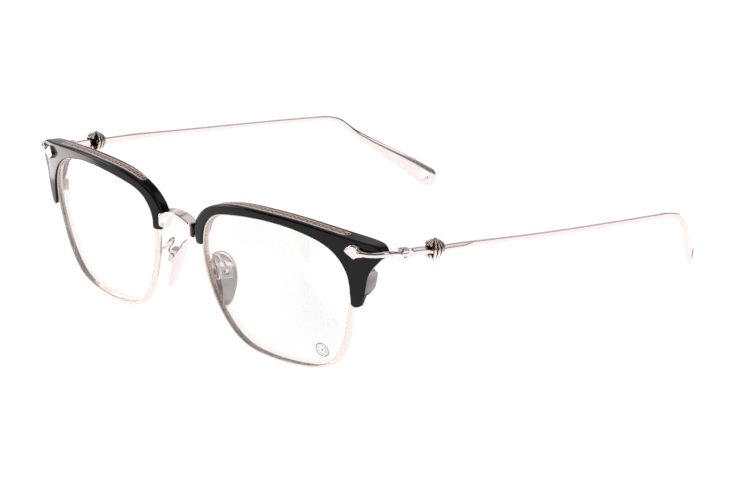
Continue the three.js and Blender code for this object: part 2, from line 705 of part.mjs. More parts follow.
// Across the pad, z runs from the nose side (negative) to the side that carries the box.
function makeNosePad() {
  const steps = 32;
  const layers = [
    [0.35, -0.95], [0.7, -0.8], [0.92, -0.45], [1, 0], [0.97, 0.3], [0.7, 0.35], [0.3, 0.35],
  ];
  const sections = layers.map(([scale, depth]) => {
    const section = [];
    for (let i = 0; i < steps; i += 1) {
      section.push(new THREE.Vector3(...padPoint((2 * Math.PI * i) / steps, scale), depth));
    }
    return section;
  });
  return skin(sections).applyMatrix4(padMatrix());
}

function boxAt(sx, sy, sz, x, y, z) {
  return new THREE.BoxGeometry(sx, sy, sz).translate(x, y, z);
}

function acrossPad(radius, length) {
  const rod = new THREE.CylinderGeometry(radius, radius, length, 16).rotateZ(Math.PI / 2);
  return rod.translate(PAD_BOX_ACROSS, PAD_BOX_UP, PAD_SCREW_Z);
}

function makePadBox() {
  const inside = PAD_BOX_SIZE - 2 * PAD_BOX_WALL;
  const middleZ = PAD_BOX_FLOOR + PAD_BOX_HEIGHT / 2;
  const outer = boxAt(PAD_BOX_SIZE, PAD_BOX_SIZE, PAD_BOX_HEIGHT, PAD_BOX_ACROSS, PAD_BOX_UP, middleZ);
  const room = boxAt(inside, inside, PAD_BOX_HEIGHT, PAD_BOX_ACROSS, PAD_BOX_UP, middleZ + 0.3);
  return cut(outer, room, acrossPad(PAD_SCREW_HOLE_RADIUS, 6)).applyMatrix4(padMatrix());
}

function makePadScrew() {
  const head = new THREE.CylinderGeometry(0.7, 0.7, 0.35, 16).rotateZ(Math.PI / 2);
  head.translate(PAD_BOX_ACROSS - PAD_BOX_SIZE / 2 - 0.28, PAD_BOX_UP, PAD_SCREW_Z);
  return join(acrossPad(PAD_SCREW_RADIUS, PAD_BOX_SIZE + 0.5), head).applyMatrix4(padMatrix());
}

// The pad arm leaves the back of the eyewire, loops up and over, and ends in a block inside the pad box.
function makePadArm() {
  const matrix = padMatrix();
  const onPad = (up, out) => new THREE.Vector3(PAD_BOX_ACROSS, up, out).applyMatrix4(matrix);
  const path = new THREE.CatmullRomCurve3([
    onFront(-23.5, -3.4, WIRE_BACK + 0.62),
    onFront(-24.3, -0.6, WIRE_BACK + 1.2),
    new THREE.Vector3(10.3, -71, 21.6),
    new THREE.Vector3(9.1, -70.4, 23.5),
    new THREE.Vector3(9.1, -69.2, 24),
    new THREE.Vector3(10.3, -68.4, 22.4),
    onPad(PAD_BOX_UP + 0.6, PAD_BOX_FLOOR + PAD_BOX_HEIGHT + 1.2),
    onPad(PAD_BOX_UP, PAD_SCREW_Z),
  ], false, 'centripetal');
  const wire = ovalAlong(path, 24, () => [ARM_RADIUS, ARM_RADIUS], new THREE.Vector3(1, 0, 0.2), 8);
  const block = boxAt(...ARM_BLOCK.toArray(), PAD_BOX_ACROSS, PAD_BOX_UP, PAD_SCREW_Z).applyMatrix4(matrix);
  return cut(join(wire, block), acrossPad(PAD_SCREW_HOLE_RADIUS, 6).applyMatrix4(matrix));
}

const bridgeArch = [[0, 34.5], [2.3, 34.3], [4.2, 33.8], [5.6, 33.15], [6.3, 32.7]];

function bridgeStrap() {
  const curve = new THREE.CatmullRomCurve3([
    ...bridgeArch.slice(1).reverse().map(([x, z]) => new THREE.Vector3(-x, 0, z)),
    ...bridgeArch.map(([x, z]) => new THREE.Vector3(x, 0, z)),
  ], false, 'centripetal');
  const outline = roundedSection([
    [0, 0, BRIDGE_EDGE], [BRIDGE_DEPTH, BRIDGE_SLOPE, BRIDGE_EDGE],
    [BRIDGE_DEPTH, BRIDGE_SLOPE - BRIDGE_THICKNESS, BRIDGE_EDGE], [0, -BRIDGE_THICKNESS, BRIDGE_EDGE],
  ], 2);
  const steps = 18;
  const sections = [];
  for (let s = 0; s <= steps; s += 1) {
    const here = curve.getPointAt(s / steps);
    const along = curve.getTangentAt(s / steps);
    sections.push(outline.map(({ x: back, y: up }) => (
      new THREE.Vector3(here.x - along.z * up, BRIDGE_FRONT + back, here.z + along.x * up))));
  }
  return skin(sections);
}

function bridgePlate(side) {
  const outline = new THREE.Shape([
    [0, 0], [4.2, 0.1], [4.6, -1.2], [3.9, -3.9], [1.4, -4.5], [0.3, -4.4], [0, -3.9],
  ].map(([y, z]) => new THREE.Vector2(y, z)));
  const solid = new THREE.ExtrudeGeometry(outline, { depth: PLATE_THICKNESS, bevelEnabled: false });
  solid.rotateX(Math.PI / 2).rotateZ(Math.PI / 2);
  const left = side > 0 ? PLATE_INNER_X : -PLATE_INNER_X - PLATE_THICKNESS;
  return solid.translate(left, BRIDGE_FRONT, PLATE_TOP);
}

// The bridge: an arched strap between the nose legs of the brows, with a plate down each leg.
function makeBridge() {
  return join(bridgeStrap(), bridgePlate(1), bridgePlate(-1));
}

const group = new THREE.Group();
group.name = 'half_rim_eyeglasses';

function add(name, geometry, material) {
  const mesh = new THREE.Mesh(geometry, material);
  mesh.name = name;
  group.add(mesh);
}

const pairs = [
  ['brow', makeBrow(), acetate],
  ['eyewire', makeEyewire(), wireMetal],
  ['lens', makeLens(), clearLens],
  ['brow_inlay', makeInlay(), roseMetal],
  ['endpiece', makeEndpiece(), polishedMetal],
  ['hinge_screw', makeHingeScrew(), screwMetal],
  ['temple', makeTemple(), polishedMetal],
  ['temple_knot', makeKnot(), oxidisedMetal],
  ['pad_arm', makePadArm(), polishedMetal],
  ['nose_pad', makeNosePad(), polishedMetal],
  ['pad_box', makePadBox(), polishedMetal],
  ['pad_screw', makePadScrew(), screwMetal],
  ['rim_lock', makeRimLock(), polishedMetal],
  ['rim_lock_screw', makeRimLockScrew(), screwMetal],
];

for (const [name, geometry, material] of pairs) {
  add(`${name}_left`, geometry, material);
  add(`${name}_right`, mirrored(geometry), material);
}
add('bridge', makeBridge(), polishedMetal);

export default group;
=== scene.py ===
"""Half rim eyeglasses: the looks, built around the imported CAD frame. Lengths below are in millimetres."""
import json
import math

import bmesh
import bpy
import numpy as np
from mathutils import Matrix, Vector


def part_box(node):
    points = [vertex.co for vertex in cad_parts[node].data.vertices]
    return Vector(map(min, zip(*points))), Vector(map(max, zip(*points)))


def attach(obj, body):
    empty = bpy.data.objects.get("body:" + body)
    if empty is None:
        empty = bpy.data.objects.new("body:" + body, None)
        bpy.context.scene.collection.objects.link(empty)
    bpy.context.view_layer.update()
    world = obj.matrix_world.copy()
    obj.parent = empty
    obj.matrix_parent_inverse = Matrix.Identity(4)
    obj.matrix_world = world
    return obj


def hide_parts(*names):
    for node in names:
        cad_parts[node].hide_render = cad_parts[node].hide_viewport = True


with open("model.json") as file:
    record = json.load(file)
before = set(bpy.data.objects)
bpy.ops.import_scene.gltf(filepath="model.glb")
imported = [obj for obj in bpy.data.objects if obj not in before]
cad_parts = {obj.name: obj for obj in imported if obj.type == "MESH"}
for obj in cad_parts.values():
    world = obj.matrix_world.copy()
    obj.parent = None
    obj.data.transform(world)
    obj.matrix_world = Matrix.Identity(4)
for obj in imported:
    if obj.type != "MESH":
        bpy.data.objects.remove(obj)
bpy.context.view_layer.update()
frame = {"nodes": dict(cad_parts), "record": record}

MM = 0.001
BODY_OF = {node: body for body, nodes in frame["record"]["behaviour"]["bodies"].items() for node in nodes}

# ---------------------------------------------------------------- camera and studio

CAMERA_AT = (0.55651, -0.53479, 0.25687)
CAMERA_TO = (0.0, -0.00175, 0.01095)
CAMERA_ROLL = math.radians(0.24)
CAMERA_LENS = 135.0


def add_object(name, data):
    item = bpy.data.objects.new(name, data)
    bpy.context.scene.collection.objects.link(item)
    return item


def make_camera():
    data = bpy.data.cameras.new("camera")
    data.lens = CAMERA_LENS
    data.sensor_width = 36.0
    data.clip_start = 0.02
    camera = add_object("camera", data)
    camera.location = CAMERA_AT
    look = (Vector(CAMERA_TO) - Vector(CAMERA_AT)).to_track_quat("-Z", "Y").to_matrix()
    camera.rotation_euler = (look @ Matrix.Rotation(CAMERA_ROLL, 3, "Z")).to_euler()
    bpy.context.scene.camera = camera


def area_light(name, place, towards, size, power, colour=(1, 1, 1), seen=True):
    data = bpy.data.lights.new(name, "AREA")
    data.shape = "RECTANGLE"
    data.size, data.size_y = size
    data.energy = power
    data.color = colour
    light = add_object(name, data)
    light.location = place
    light.visible_camera = seen
    light.rotation_euler = (Vector(towards) - Vector(place)).to_track_quat("-Z", "Y").to_euler()


# Bright parts of the studio above the table: direction, cosine of the angle where each starts,
# cosine where it is full, and brightness.
STUDIO_PATCHES = [
    ((-0.10, -0.10, 1.0), 0.82, 0.95, 0.3),
    ((0.96, -0.16, 0.25), 0.85, 0.96, 0.08),
    ((0.80, -0.15, 0.62), 0.93, 0.97, 1.4),
    ((-0.69, 0.30, 0.66), 0.95, 0.985, 0.6),
    ((-0.69, 0.66, 0.30), 0.85, 0.96, 0.5),
    ((0.30, 0.66, 0.67), 0.955, 0.985, 0.75),
    ((-0.9, -0.42, 0.1), 0.88, 0.96, 0.7),
]
STUDIO_DARK = 0.09
STUDIO_TINT = (1.0, 0.91, 0.945, 1)
# The table is evenly lit from below, as paper on a light table.
TABLE_GLOW = 0.985
TABLE_HALF, TABLE_DROP = 6.0, 0.0004


def make_world():
    world = bpy.data.worlds.new("studio")
    bpy.context.scene.world = world
    world.use_nodes = True
    nodes, links = world.node_tree.nodes, world.node_tree.links
    nodes.clear()
    where = nodes.new("ShaderNodeTexCoord")
    total = None
    for direction, start, full, strength in STUDIO_PATCHES:
        dot = nodes.new("ShaderNodeVectorMath")
        dot.operation = "DOT_PRODUCT"
        dot.inputs[1].default_value = Vector(direction).normalized()
        links.new(where.outputs["Generated"], dot.inputs[0])
        ramp = nodes.new("ShaderNodeMapRange")
        ramp.interpolation_type = "SMOOTHSTEP"
        ramp.inputs["From Min"].default_value = start
        ramp.inputs["From Max"].default_value = full
        ramp.inputs["To Max"].default_value = strength
        links.new(dot.outputs["Value"], ramp.inputs["Value"])
        if total is None:
            total = ramp.outputs["Result"]
        else:
            add = nodes.new("ShaderNodeMath")
            links.new(total, add.inputs[0])
            links.new(ramp.outputs["Result"], add.inputs[1])
            total = add.outputs[0]
    lift = nodes.new("ShaderNodeMath")
    lift.inputs[1].default_value = STUDIO_DARK
    links.new(total, lift.inputs[0])
    studio = nodes.new("ShaderNodeBackground")
    studio.inputs["Color"].default_value = STUDIO_TINT
    links.new(lift.outputs[0], studio.inputs["Strength"])
    backdrop = nodes.new("ShaderNodeBackground")
    backdrop.inputs["Color"].default_value = (1, 1, 1, 1)
    path = nodes.new("ShaderNodeLightPath")
    mix = nodes.new("ShaderNodeMixShader")
    links.new(path.outputs["Is Camera Ray"], mix.inputs[0])
    links.new(studio.outputs[0], mix.inputs[1])
    links.new(backdrop.outputs[0], mix.inputs[2])
    output = nodes.new("ShaderNodeOutputWorld")
    links.new(mix.outputs[0], output.inputs["Surface"])


def make_floor():
    half = TABLE_HALF
    corners = [(-half, -half, 0), (half, -half, 0), (half, half, 0), (-half, half, 0)]
    mesh = bpy.data.meshes.new("floor")
    mesh.from_pydata(corners, [], [(0, 1, 2, 3)])
    floor = add_object("floor", mesh)
    floor.location.z = -TABLE_DROP
    paper = bpy.data.materials.new("white_paper")
    paper.use_nodes = True
    shader = paper.node_tree.nodes["Principled BSDF"]
    shader.inputs["Base Color"].default_value = (0.12, 0.12, 0.12, 1)
    shader.inputs["Roughness"].default_value = 0.9
    shader.inputs["Specular IOR Level"].default_value = 0.1
    shader.inputs["Emission Color"].default_value = (1, 0.985, 0.98, 1)
    shader.inputs["Emission Strength"].default_value = TABLE_GLOW
    mesh.materials.append(paper)


make_camera()
make_world()
make_floor()
area_light("overhead", (-0.15, 0.0, 1.3), (0, 0, 0), (1.0, 1.0), 1.0)
area_light("from_left", (-1.2, -0.5, 0.6), (0, -0.02, 0.02), (0.7, 0.5), 4)
# Two small soft cards low beside the object draw the sheen of the acetate's far corner and near leg.
MAUVE = (1.0, 0.88, 0.93)
area_light("far_card", (-0.150, -0.092, 0.012), (-0.06, -0.07, 0.03), (0.07, 0.03), 0.022, MAUVE, seen=False)
area_light("leg_card", (0.077, -0.026, 0.002), (0.070, -0.045, 0.03), (0.034, 0.05), 0.018, MAUVE, seen=False)
scene = bpy.context.scene
scene.view_settings.view_transform = "Standard"
scene.view_settings.look = "None"
scene.view_settings.exposure = 0.0

# ---------------------------------------------------------------- materials


class Shade:
    """A procedural material: a Principled shader with noise in its roughness and bump."""

    def __init__(self, name, colour, roughness, metallic=0.0, **inputs):
        self.material = bpy.data.materials.new(name)
        self.material.use_nodes = True
        self.nodes = self.material.node_tree.nodes
        self.links = self.material.node_tree.links
        self.shader = self.nodes["Principled BSDF"]
        self.shader.inputs["Base Color"].default_value = (*colour, 1)
        self.shader.inputs["Roughness"].default_value = roughness
        self.shader.inputs["Metallic"].default_value = metallic
        for key, value in inputs.items():
            self.shader.inputs[key.replace("_", " ")].default_value = value
        self.where = self.nodes.new("ShaderNodeTexCoord").outputs["Object"]
        self.height = None

    def noise(self, size_mm, detail=3.0, stretch=(1, 1, 1)):
        mapping = self.nodes.new("ShaderNodeMapping")
        mapping.inputs["Scale"].default_value = [s / (size_mm * MM) for s in stretch]
        self.links.new(self.where, mapping.inputs["Vector"])
        noise = self.nodes.new("ShaderNodeTexNoise")
        noise.inputs["Scale"].default_value = 1.0
        noise.inputs["Detail"].default_value = detail
        self.links.new(mapping.outputs[0], noise.inputs["Vector"])
        return noise.outputs["Fac"]

    def spread(self, value, low, high):
        """Maps the middle of the noise's range to low and high."""
        ramp = self.nodes.new("ShaderNodeMapRange")
        ramp.inputs["From Min"].default_value = 0.3
        ramp.inputs["From Max"].default_value = 0.7
        ramp.inputs["To Min"].default_value = low
        ramp.inputs["To Max"].default_value = high
        self.links.new(value, ramp.inputs["Value"])
        return ramp.outputs["Result"]

    def blend(self, factor, first, second):
        mix = self.nodes.new("ShaderNodeMix")
        mix.data_type = "RGBA"
        self.links.new(factor, mix.inputs[0])
        for socket, value in ((mix.inputs[6], first), (mix.inputs[7], second)):
            if isinstance(value, tuple):
                socket.default_value = (*value, 1)
            else:
                self.links.new(value, socket)
        return mix.outputs[2]

    def colour(self, value):
        self.links.new(value, self.shader.inputs["Base Color"])

    def roughness(self, value):
        self.links.new(value, self.shader.inputs["Roughness"])

    def bump(self, value, depth_mm):
        node = self.nodes.new("ShaderNodeBump")
        node.inputs["Strength"].default_value = 1.0
        node.inputs["Distance"].default_value = depth_mm * MM
        self.links.new(value, node.inputs["Height"])
        if self.height is not None:
            self.links.new(self.height, node.inputs["Normal"])
        self.height = node.outputs[0]
        self.links.new(self.height, self.shader.inputs["Normal"])

    def attribute(self, name):
        node = self.nodes.new("ShaderNodeAttribute")
        node.attribute_name = name
        return node.outputs["Fac"]


def acetate_shade():
    shade = Shade("black_acetate", (0.006, 0.005, 0.006), 0.16, IOR=1.34)
    clouds = shade.noise(9, 2)
    shade.colour(shade.blend(shade.spread(clouds, 0, 1), (0.002, 0.0018, 0.002), (0.005, 0.0042, 0.0046)))
    shade.roughness(shade.spread(shade.noise(1.4, 4), 0.10, 0.2))
    shade.bump(shade.noise(5, 1), 0.012)
    shade.bump(shade.noise(0.18, 2), 0.0006)
    return shade.material


def polished_shade(name, colour, roughness, scratch=0.0008):
    shade = Shade(name, colour, roughness, 1.0)
    warm = tuple(c * f for c, f in zip(colour, (0.97, 0.93, 0.9)))
    shade.colour(shade.blend(shade.spread(shade.noise(3, 3), 0, 1), colour, warm))
    shade.roughness(shade.spread(shade.noise(0.9, 4), roughness * 0.7, roughness * 1.4))
    shade.bump(shade.noise(0.25, 3, (1, 0.15, 1)), scratch)
    return shade.material


def patina_and_painted_shade(name, bright, dark, roughness):
    """Metal darkened towards its dark colour where the piece's vertex attribute says: dark patina in engraved
    grooves, and painted shade on the eyewire's inner side and on the knot's ribs and core.
    """
    shade = Shade(name, bright, roughness, 1.0)
    patina_and_shade = shade.attribute("patina_and_shade")
    uneven = shade.spread(shade.noise(0.6, 3), 0, 1)
    tone = shade.blend(uneven, bright, tuple(c * f for c, f in zip(bright, (0.95, 0.9, 0.86))))
    # The dark colour is patina in engraved grooves, and painted shade on the eyewire and the knot.
    shade.colour(shade.blend(patina_and_shade, tone, dark))
    shade.roughness(shade.spread(shade.noise(0.5, 4), roughness * 0.75, roughness * 1.35))
    shade.bump(shade.noise(0.12, 3), 0.0012)
    return shade.material


def lens_shade():
    shade = Shade("clear_lens", (1, 1, 1), 0.0, Transmission_Weight=1.0, IOR=1.5, Alpha=0.16)
    shade.roughness(shade.spread(shade.noise(14, 2), 0.0, 0.012))
    return shade.material


def ink_shade():
    shade = Shade("grey_ink", (0.05, 0.05, 0.055), 0.5)
    shade.roughness(shade.spread(shade.noise(0.4, 2), 0.4, 0.6))
    shade.colour(shade.blend(shade.spread(shade.noise(0.5, 3), 0, 1), (0.03, 0.03, 0.035), (0.1, 0.1, 0.105)))
    return shade.material


ACETATE = acetate_shade()
POLISHED = polished_shade("polished_metal", (0.93, 0.87, 0.85), 0.11)
# The temple's dark colour is patina in its engraving, and a painted dark reflection line along the crease
# below its top bevel.
TEMPLE_METAL = patina_and_painted_shade("temple_metal", (0.96, 0.91, 0.9), (0.12, 0.09, 0.08), 0.13)
PAD_METAL = polished_shade("pad_metal", (0.94, 0.86, 0.875), 0.1, 0.0004)
BOX_METAL = polished_shade("satin_box_metal", (0.97, 0.93, 0.92), 0.42, 0.0004)
# The eyewire's dark colour is painted shade on the wire's inner side.
WIRE_METAL = patina_and_painted_shade("eyewire_metal", (0.95, 0.9, 0.87), (0.53, 0.42, 0.35), 0.24)
ROSE_METAL = patina_and_painted_shade("rose_metal", (1.0, 0.84, 0.76), (0.03, 0.019, 0.016), 0.34)
# The knot's dark colour is painted shade between and inside its ribs.
KNOT_METAL = patina_and_painted_shade("knot_metal", (0.95, 0.85, 0.73), (0.03, 0.02, 0.016), 0.22)
SCREW_METAL = polished_shade("screw_metal", (0.8, 0.76, 0.74), 0.22)
LENS = lens_shade()
INK = ink_shade()

# ---------------------------------------------------------------- curves and meshes


def smoothstep(low, high, x):
    t = np.clip((x - low) / (high - low), 0, 1)
    return t * t * (3 - 2 * t)


def unit(vector):
    return vector / np.linalg.norm(vector)


def directions(along, up):
    """The direction along a path, the one to its side and the one upwards, all of length one."""
    along = unit(np.asarray(along, float))
    side = unit(np.cross(along, up))
    return along, side, np.cross(side, along)


def through(points, per_span, closed=False):
    """Points on the centripetal Catmull-Rom curve through the given ones, per_span to each span."""
    pts = np.asarray(points, float)
    count = len(pts)
    spans = count if closed else count - 1
    out = []
    for i in range(spans):
        if closed:
            four = [pts[(i + k - 1) % count] for k in range(4)]
        else:
            before = pts[i - 1] if i else 2 * pts[0] - pts[1]
            after = pts[i + 2] if i + 2 < count else 2 * pts[-1] - pts[-2]
            four = [before, pts[i], pts[i + 1], after]
        a, b, c = (max(np.linalg.norm(four[k + 1] - four[k]) ** 0.5, 1e-4) for k in range(3))
        if a == 1e-4:
            a = b
        if c == 1e-4:
            c = b
        start = (four[1] - four[0]) / a - (four[2] - four[0]) / (a + b) + (four[2] - four[1]) / b
        end = (four[2] - four[1]) / b - (four[3] - four[1]) / (b + c) + (four[3] - four[2]) / c
        start, end = start * b, end * b
        for s in range(per_span):
            t = s / per_span
            out.append(
                (2 * t**3 - 3 * t**2 + 1) * four[1] + (t**3 - 2 * t**2 + t) * start
                + (3 * t**2 - 2 * t**3) * four[2] + (t**3 - t**2) * end
            )
    if not closed:
        out.append(pts[-1])
    return np.array(out)


def evenly(points, count, closed=False):
    """The curve through dense points, again, with `count` points at equal distances, and its directions."""
    pts = np.vstack([points, points[:1]]) if closed else np.asarray(points)
    run = np.concatenate([[0], np.cumsum(np.linalg.norm(np.diff(pts, axis=0), axis=1))])
    at = np.linspace(0, run[-1], count + 1)[:-1] if closed else np.linspace(0, run[-1], count)
    out = np.column_stack([np.interp(at, run, pts[:, k]) for k in range(pts.shape[1])])
    if closed:
        along = np.roll(out, -1, 0) - np.roll(out, 1, 0)
    else:
        along = np.gradient(out, axis=0)
    return out, along / np.linalg.norm(along, axis=1)[:, None]


# The steps of an end that is rounded off, in degrees.
END_TURNS = (10, 20, 30, 40, 50, 58, 66, 73, 79, 84, 88)


def rounded(corners, steps=5):
    """A closed outline with rounded corners: each corner is (x, y, radius)."""
    out = []
    count = len(corners)
    for i, (x, y, radius) in enumerate(corners):
        here = np.array([x, y], float)
        ends = []
        for step in (-1, 1):
            to = np.array(corners[(i + step) % count][:2], float) - here
            length = max(np.linalg.norm(to), 1e-6)
            ends.append(here + to / length * min(radius, length * 0.45))
        for s in range(steps + 1):
            t = s / steps
            out.append(ends[0] * (1 - t) ** 2 + 2 * t * (1 - t) * here + t * t * ends[1])
    return out


def loft(sections, closed=False):
    """Vertices and faces that join sections of equal counts; open ends are capped round a middle point."""
    count = len(sections[0])
    verts = [tuple(p) for section in sections for p in section]
    faces = []
    spans = len(sections) if closed else len(sections) - 1
    for s in range(spans):
        here, there = s * count, ((s + 1) % len(sections)) * count
        for i in range(count):
            j = (i + 1) % count
            faces.append((here + i, there + i, there + j, here + j))
    if not closed:
        for s in (0, len(sections) - 1):
            verts.append(tuple(np.mean(sections[s], axis=0)))
            hub = len(verts) - 1
            for i in range(count):
                faces.append((hub, s * count + i, s * count + (i + 1) % count))
    return verts, faces


def tube(path, radius, sides, up, tapers=0):
    """Sections round a path, whose radius is one number or one for each point; tapers round off its ends."""
    pts = np.asarray(path, float)
    along = np.gradient(pts, axis=0)
    radii = np.broadcast_to(radius, len(pts)).astype(float).copy()
    for k in range(tapers):
        share = math.sin(math.acos(1 - (k + 0.5) / tapers))
        radii[k] *= share
        radii[-1 - k] *= share
    sections = []
    for p, a, r in zip(pts, along, radii):
        _, side, high = directions(a, up)
        angles = np.arange(sides) * 2 * math.pi / sides
        sections.append([p + r * (math.cos(t) * side + math.sin(t) * high) for t in angles])
    return sections


def mesh_from(name, verts, faces):
    mesh = bpy.data.meshes.new(name)
    mesh.from_pydata([tuple(c * MM for c in v) for v in verts], [], faces)
    tidy_mesh(mesh)
    return mesh


def tidy_mesh(mesh):
    work = bmesh.new()
    work.from_mesh(mesh)
    bmesh.ops.remove_doubles(work, verts=work.verts, dist=1e-7)
    bmesh.ops.dissolve_degenerate(work, dist=1e-7, edges=work.edges)
    bmesh.ops.recalc_face_normals(work, faces=work.faces)
    work.to_mesh(mesh)
    work.free()
    mesh.update()


def loose_object(name, verts, faces):
    return add_object(name, mesh_from(name, verts, faces))


def applied(piece):
    """The mesh of the piece with its modifiers applied; the modifiers are removed."""
    bpy.context.view_layer.update()
    seen = piece.evaluated_get(bpy.context.evaluated_depsgraph_get())
    mesh = bpy.data.meshes.new_from_object(seen)
    piece.modifiers.clear()
    piece.data = mesh
    return piece


def boolean(piece, tools, operation):
    for tool in tools:
        modifier = piece.modifiers.new("boolean", "BOOLEAN")
        modifier.operation = operation
        modifier.solver = "EXACT"
        modifier.object = tool
        applied(piece)
        bpy.data.objects.remove(tool)
    return piece


def patina_and_shade_object(name, verts, faces, patina_and_shade_weights):
    """A piece with a vertex attribute that says, for each vertex, how far it is darkened: patina in engraved
    grooves, painted shade on some pieces.
    """
    mesh = bpy.data.meshes.new(name)
    mesh.from_pydata([tuple(c * MM for c in v) for v in verts], [], faces)
    layer = mesh.attributes.new("patina_and_shade", "FLOAT", "POINT")
    layer.data.foreach_set("value", np.asarray(patina_and_shade_weights, dtype=np.float32))
    tidy_mesh(mesh)
    return add_object(name, mesh)


def finish(piece, material, sharp=35):
    piece.data.shade_smooth()
    piece.data.set_sharp_from_angle(angle=math.radians(sharp))
    piece.data.materials.clear()
    piece.data.materials.append(material)
    return piece


def mirrored(piece, name):
    twin = add_object(name, piece.data.copy())
    twin.data.transform(Matrix.Scale(-1, 4, (1, 0, 0)))
    twin.data.flip_normals()
    return twin


def place_pair(piece, node):
    """The left piece and its mirror image ride with, and stand for, the two CAD nodes of that name."""
    twin = mirrored(piece, piece.name.replace("_left", "_right"))
    for side, item in (("left", piece), ("right", twin)):
        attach(item, BODY_OF[f"{node}_{side}"])
        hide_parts(f"{node}_{side}")


# ---------------------------------------------------------------- the curved front

WRAP = math.radians(6.8)
TILT = math.radians(6.6)
FACE_CURVE = 120.0
WIRE_FRONT, WIRE_BACK, WIRE_WIDTH = 0.2, 2.1, 1.0
GROOVE_GAP = 0.2

# The lens opening seen from the front, from the temple side round over the nose: (outward, up).
OPENING = [
    (25.3, 5.6), (24.9, 9), (23.4, 12.4), (20.4, 15), (16.9, 16.6), (9, 18.4), (-2, 18.9), (-12.7, 17.8),
    (-19.2, 16.4), (-23.6, 13.2), (-25.2, 9.4), (-25.6, 5), (-24.9, 0), (-22.9, -6.6), (-20, -12.1),
    (-16.1, -16.6), (-11.2, -19.1), (-4, -20.2), (4.2, -20.2), (11.5, -19.3), (16.6, -17), (19.8, -13.2),
    (22, -8.6), (23.6, -2.8), (24.8, 2),
]


def opening_ring(count):
    return evenly(through(OPENING, 24, True), count, True)


def front_offset(u, v, depth):
    """A point of the wrapped, tilted and curved front, from the lens centre."""
    sag = (u * u + v * v) / (2 * FACE_CURVE)
    return np.array([
        u * math.cos(WRAP), u * math.sin(WRAP) + sag - v * math.sin(TILT) + depth, v * math.cos(TILT),
    ])


def find_lens_centre():
    """The lens centre, from where the CAD eyewire's box lies."""
    points, along = opening_ring(60)
    outer = [
        front_offset(p[0] + a[1] * out, p[1] - a[0] * out, depth)
        for p, a in zip(points, along)
        for out, depth in ((0, WIRE_FRONT), (WIRE_WIDTH, WIRE_BACK - 0.2), (WIRE_WIDTH * 0.6, WIRE_FRONT),
                           (0, WIRE_BACK), (WIRE_WIDTH, WIRE_FRONT + 0.2))
    ]
    middle = (np.min(outer, axis=0) + np.max(outer, axis=0)) / 2
    low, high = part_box("eyewire_left")
    return (np.array(low) + np.array(high)) / 2 / MM - middle


LENS_CENTRE = find_lens_centre()


def on_front(u, v, depth):
    return LENS_CENTRE + front_offset(u, v, depth)


def ring_section(point, along, profile):
    return [on_front(point[0] + along[1] * out, point[1] - along[0] * out, depth) for out, depth in profile]


# ---------------------------------------------------------------- lenses and eyewires

MILL_PITCH = 0.42


def make_eyewire():
    """A wire round the lens with a fine milled edge on its inner side."""
    length = np.linalg.norm(np.diff(through(OPENING, 24, True), axis=0), axis=1).sum()
    beads = int(length / MILL_PITCH)
    steps = 6
    points, along = opening_ring(beads * steps)
    sections, patina_and_shade_weights = [], []
    for i, (p, a) in enumerate(zip(points, along)):
        dip = 0.5 - 0.5 * math.cos(2 * math.pi * i / steps)
        d = 0.07 * dip
        sections.append(ring_section(p, a, [
            (0.02 + d, WIRE_FRONT + 0.16), (0.0 + d, 0.6), (0.0, 0.68), (0.45, 1.15), (0.0, 1.62),
            (0.0 + d, 1.7), (0.02 + d, WIRE_BACK - 0.12), (0.14, WIRE_BACK), (0.5, WIRE_BACK + 0.02),
            (0.82, WIRE_BACK - 0.08), (0.97, WIRE_BACK - 0.35), (1.0, 1.15), (0.97, WIRE_FRONT + 0.35),
            (0.84, WIRE_FRONT + 0.08), (0.5, WIRE_FRONT - 0.03), (0.2, WIRE_FRONT + 0.02),
        ]))
        # Painted shade: the inner side is darkened, more in the dips of the milled edge and most in the
        # groove that holds the lens.
        inner = 0.15 + 0.75 * dip
        patina_and_shade_weights += [inner, inner, 0.8, 1, 0.8, inner, inner, 0.2, 0, 0, 0, 0, 0, 0, 0, 0.15]
    piece = patina_and_shade_object("wire_rim_left", *loft(sections, True), patina_and_shade_weights)
    place_pair(finish(piece, WIRE_METAL, 60), "eyewire")


LENS_DEPTH, LENS_THICKNESS = (WIRE_FRONT + WIRE_BACK) / 2, 1.5


def make_lens():
    points, along = opening_ring(240)
    middle, half = LENS_DEPTH, LENS_THICKNESS / 2
    rows = [(0.04 + 0.04 * k, -half) for k in range(24)]
    rings = []
    for scale, depth in rows:
        rings.append([on_front(p[0] * scale, p[1] * scale, middle + depth) for p in points])
    for out, depth in ((-0.15, -half), (-0.1, -half + 0.05), (0.28, 0), (-0.1, half - 0.05), (-0.15, half)):
        rings.append([
            on_front(p[0] + a[1] * out, p[1] - a[0] * out, middle + depth) for p, a in zip(points, along)
        ])
    for scale, depth in reversed(rows):
        rings.append([on_front(p[0] * scale, p[1] * scale, middle - depth) for p in points])
    verts, faces = loft(rings)
    place_pair(finish(loose_object("demo_lens_left", verts, faces), LENS, 30), "lens")


# The printed mark: its place on the lens, and the inner and outer radii of its rings.
MARK_U, MARK_V = 14.6, -14.0
MARK_RINGS = [(1.75, 1.95), (1.1, 1.22), (0.02, 0.3)]
INK_GAP, INK_THICKNESS = 0.02, 0.01


def make_lens_mark():
    """A small printed ring with a dot, where demonstration lenses carry a mark."""
    depth = LENS_DEPTH - LENS_THICKNESS / 2 - INK_GAP
    steps = 48
    turns = np.arange(steps) * 2 * math.pi / steps
    verts, faces = [], []
    for inner, outer in MARK_RINGS:
        start = len(verts)
        for layer in (0, -INK_THICKNESS):
            for radius in (inner, outer):
                for t in turns:
                    u, v = MARK_U + radius * math.cos(t), MARK_V + radius * math.sin(t)
                    verts.append(on_front(u, v, depth + layer))
        for s in range(steps):
            t = (s + 1) % steps
            for a, b in ((0, 1), (1, 3), (3, 2), (2, 0)):
                here, there = start + a * steps, start + b * steps
                faces.append((here + s, there + s, there + t, here + t))
    mark = loose_object("lens_mark_left", verts, faces)
    finish(mark, INK)
    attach(mark, BODY_OF["lens_left"])


# ---------------------------------------------------------------- acetate brows

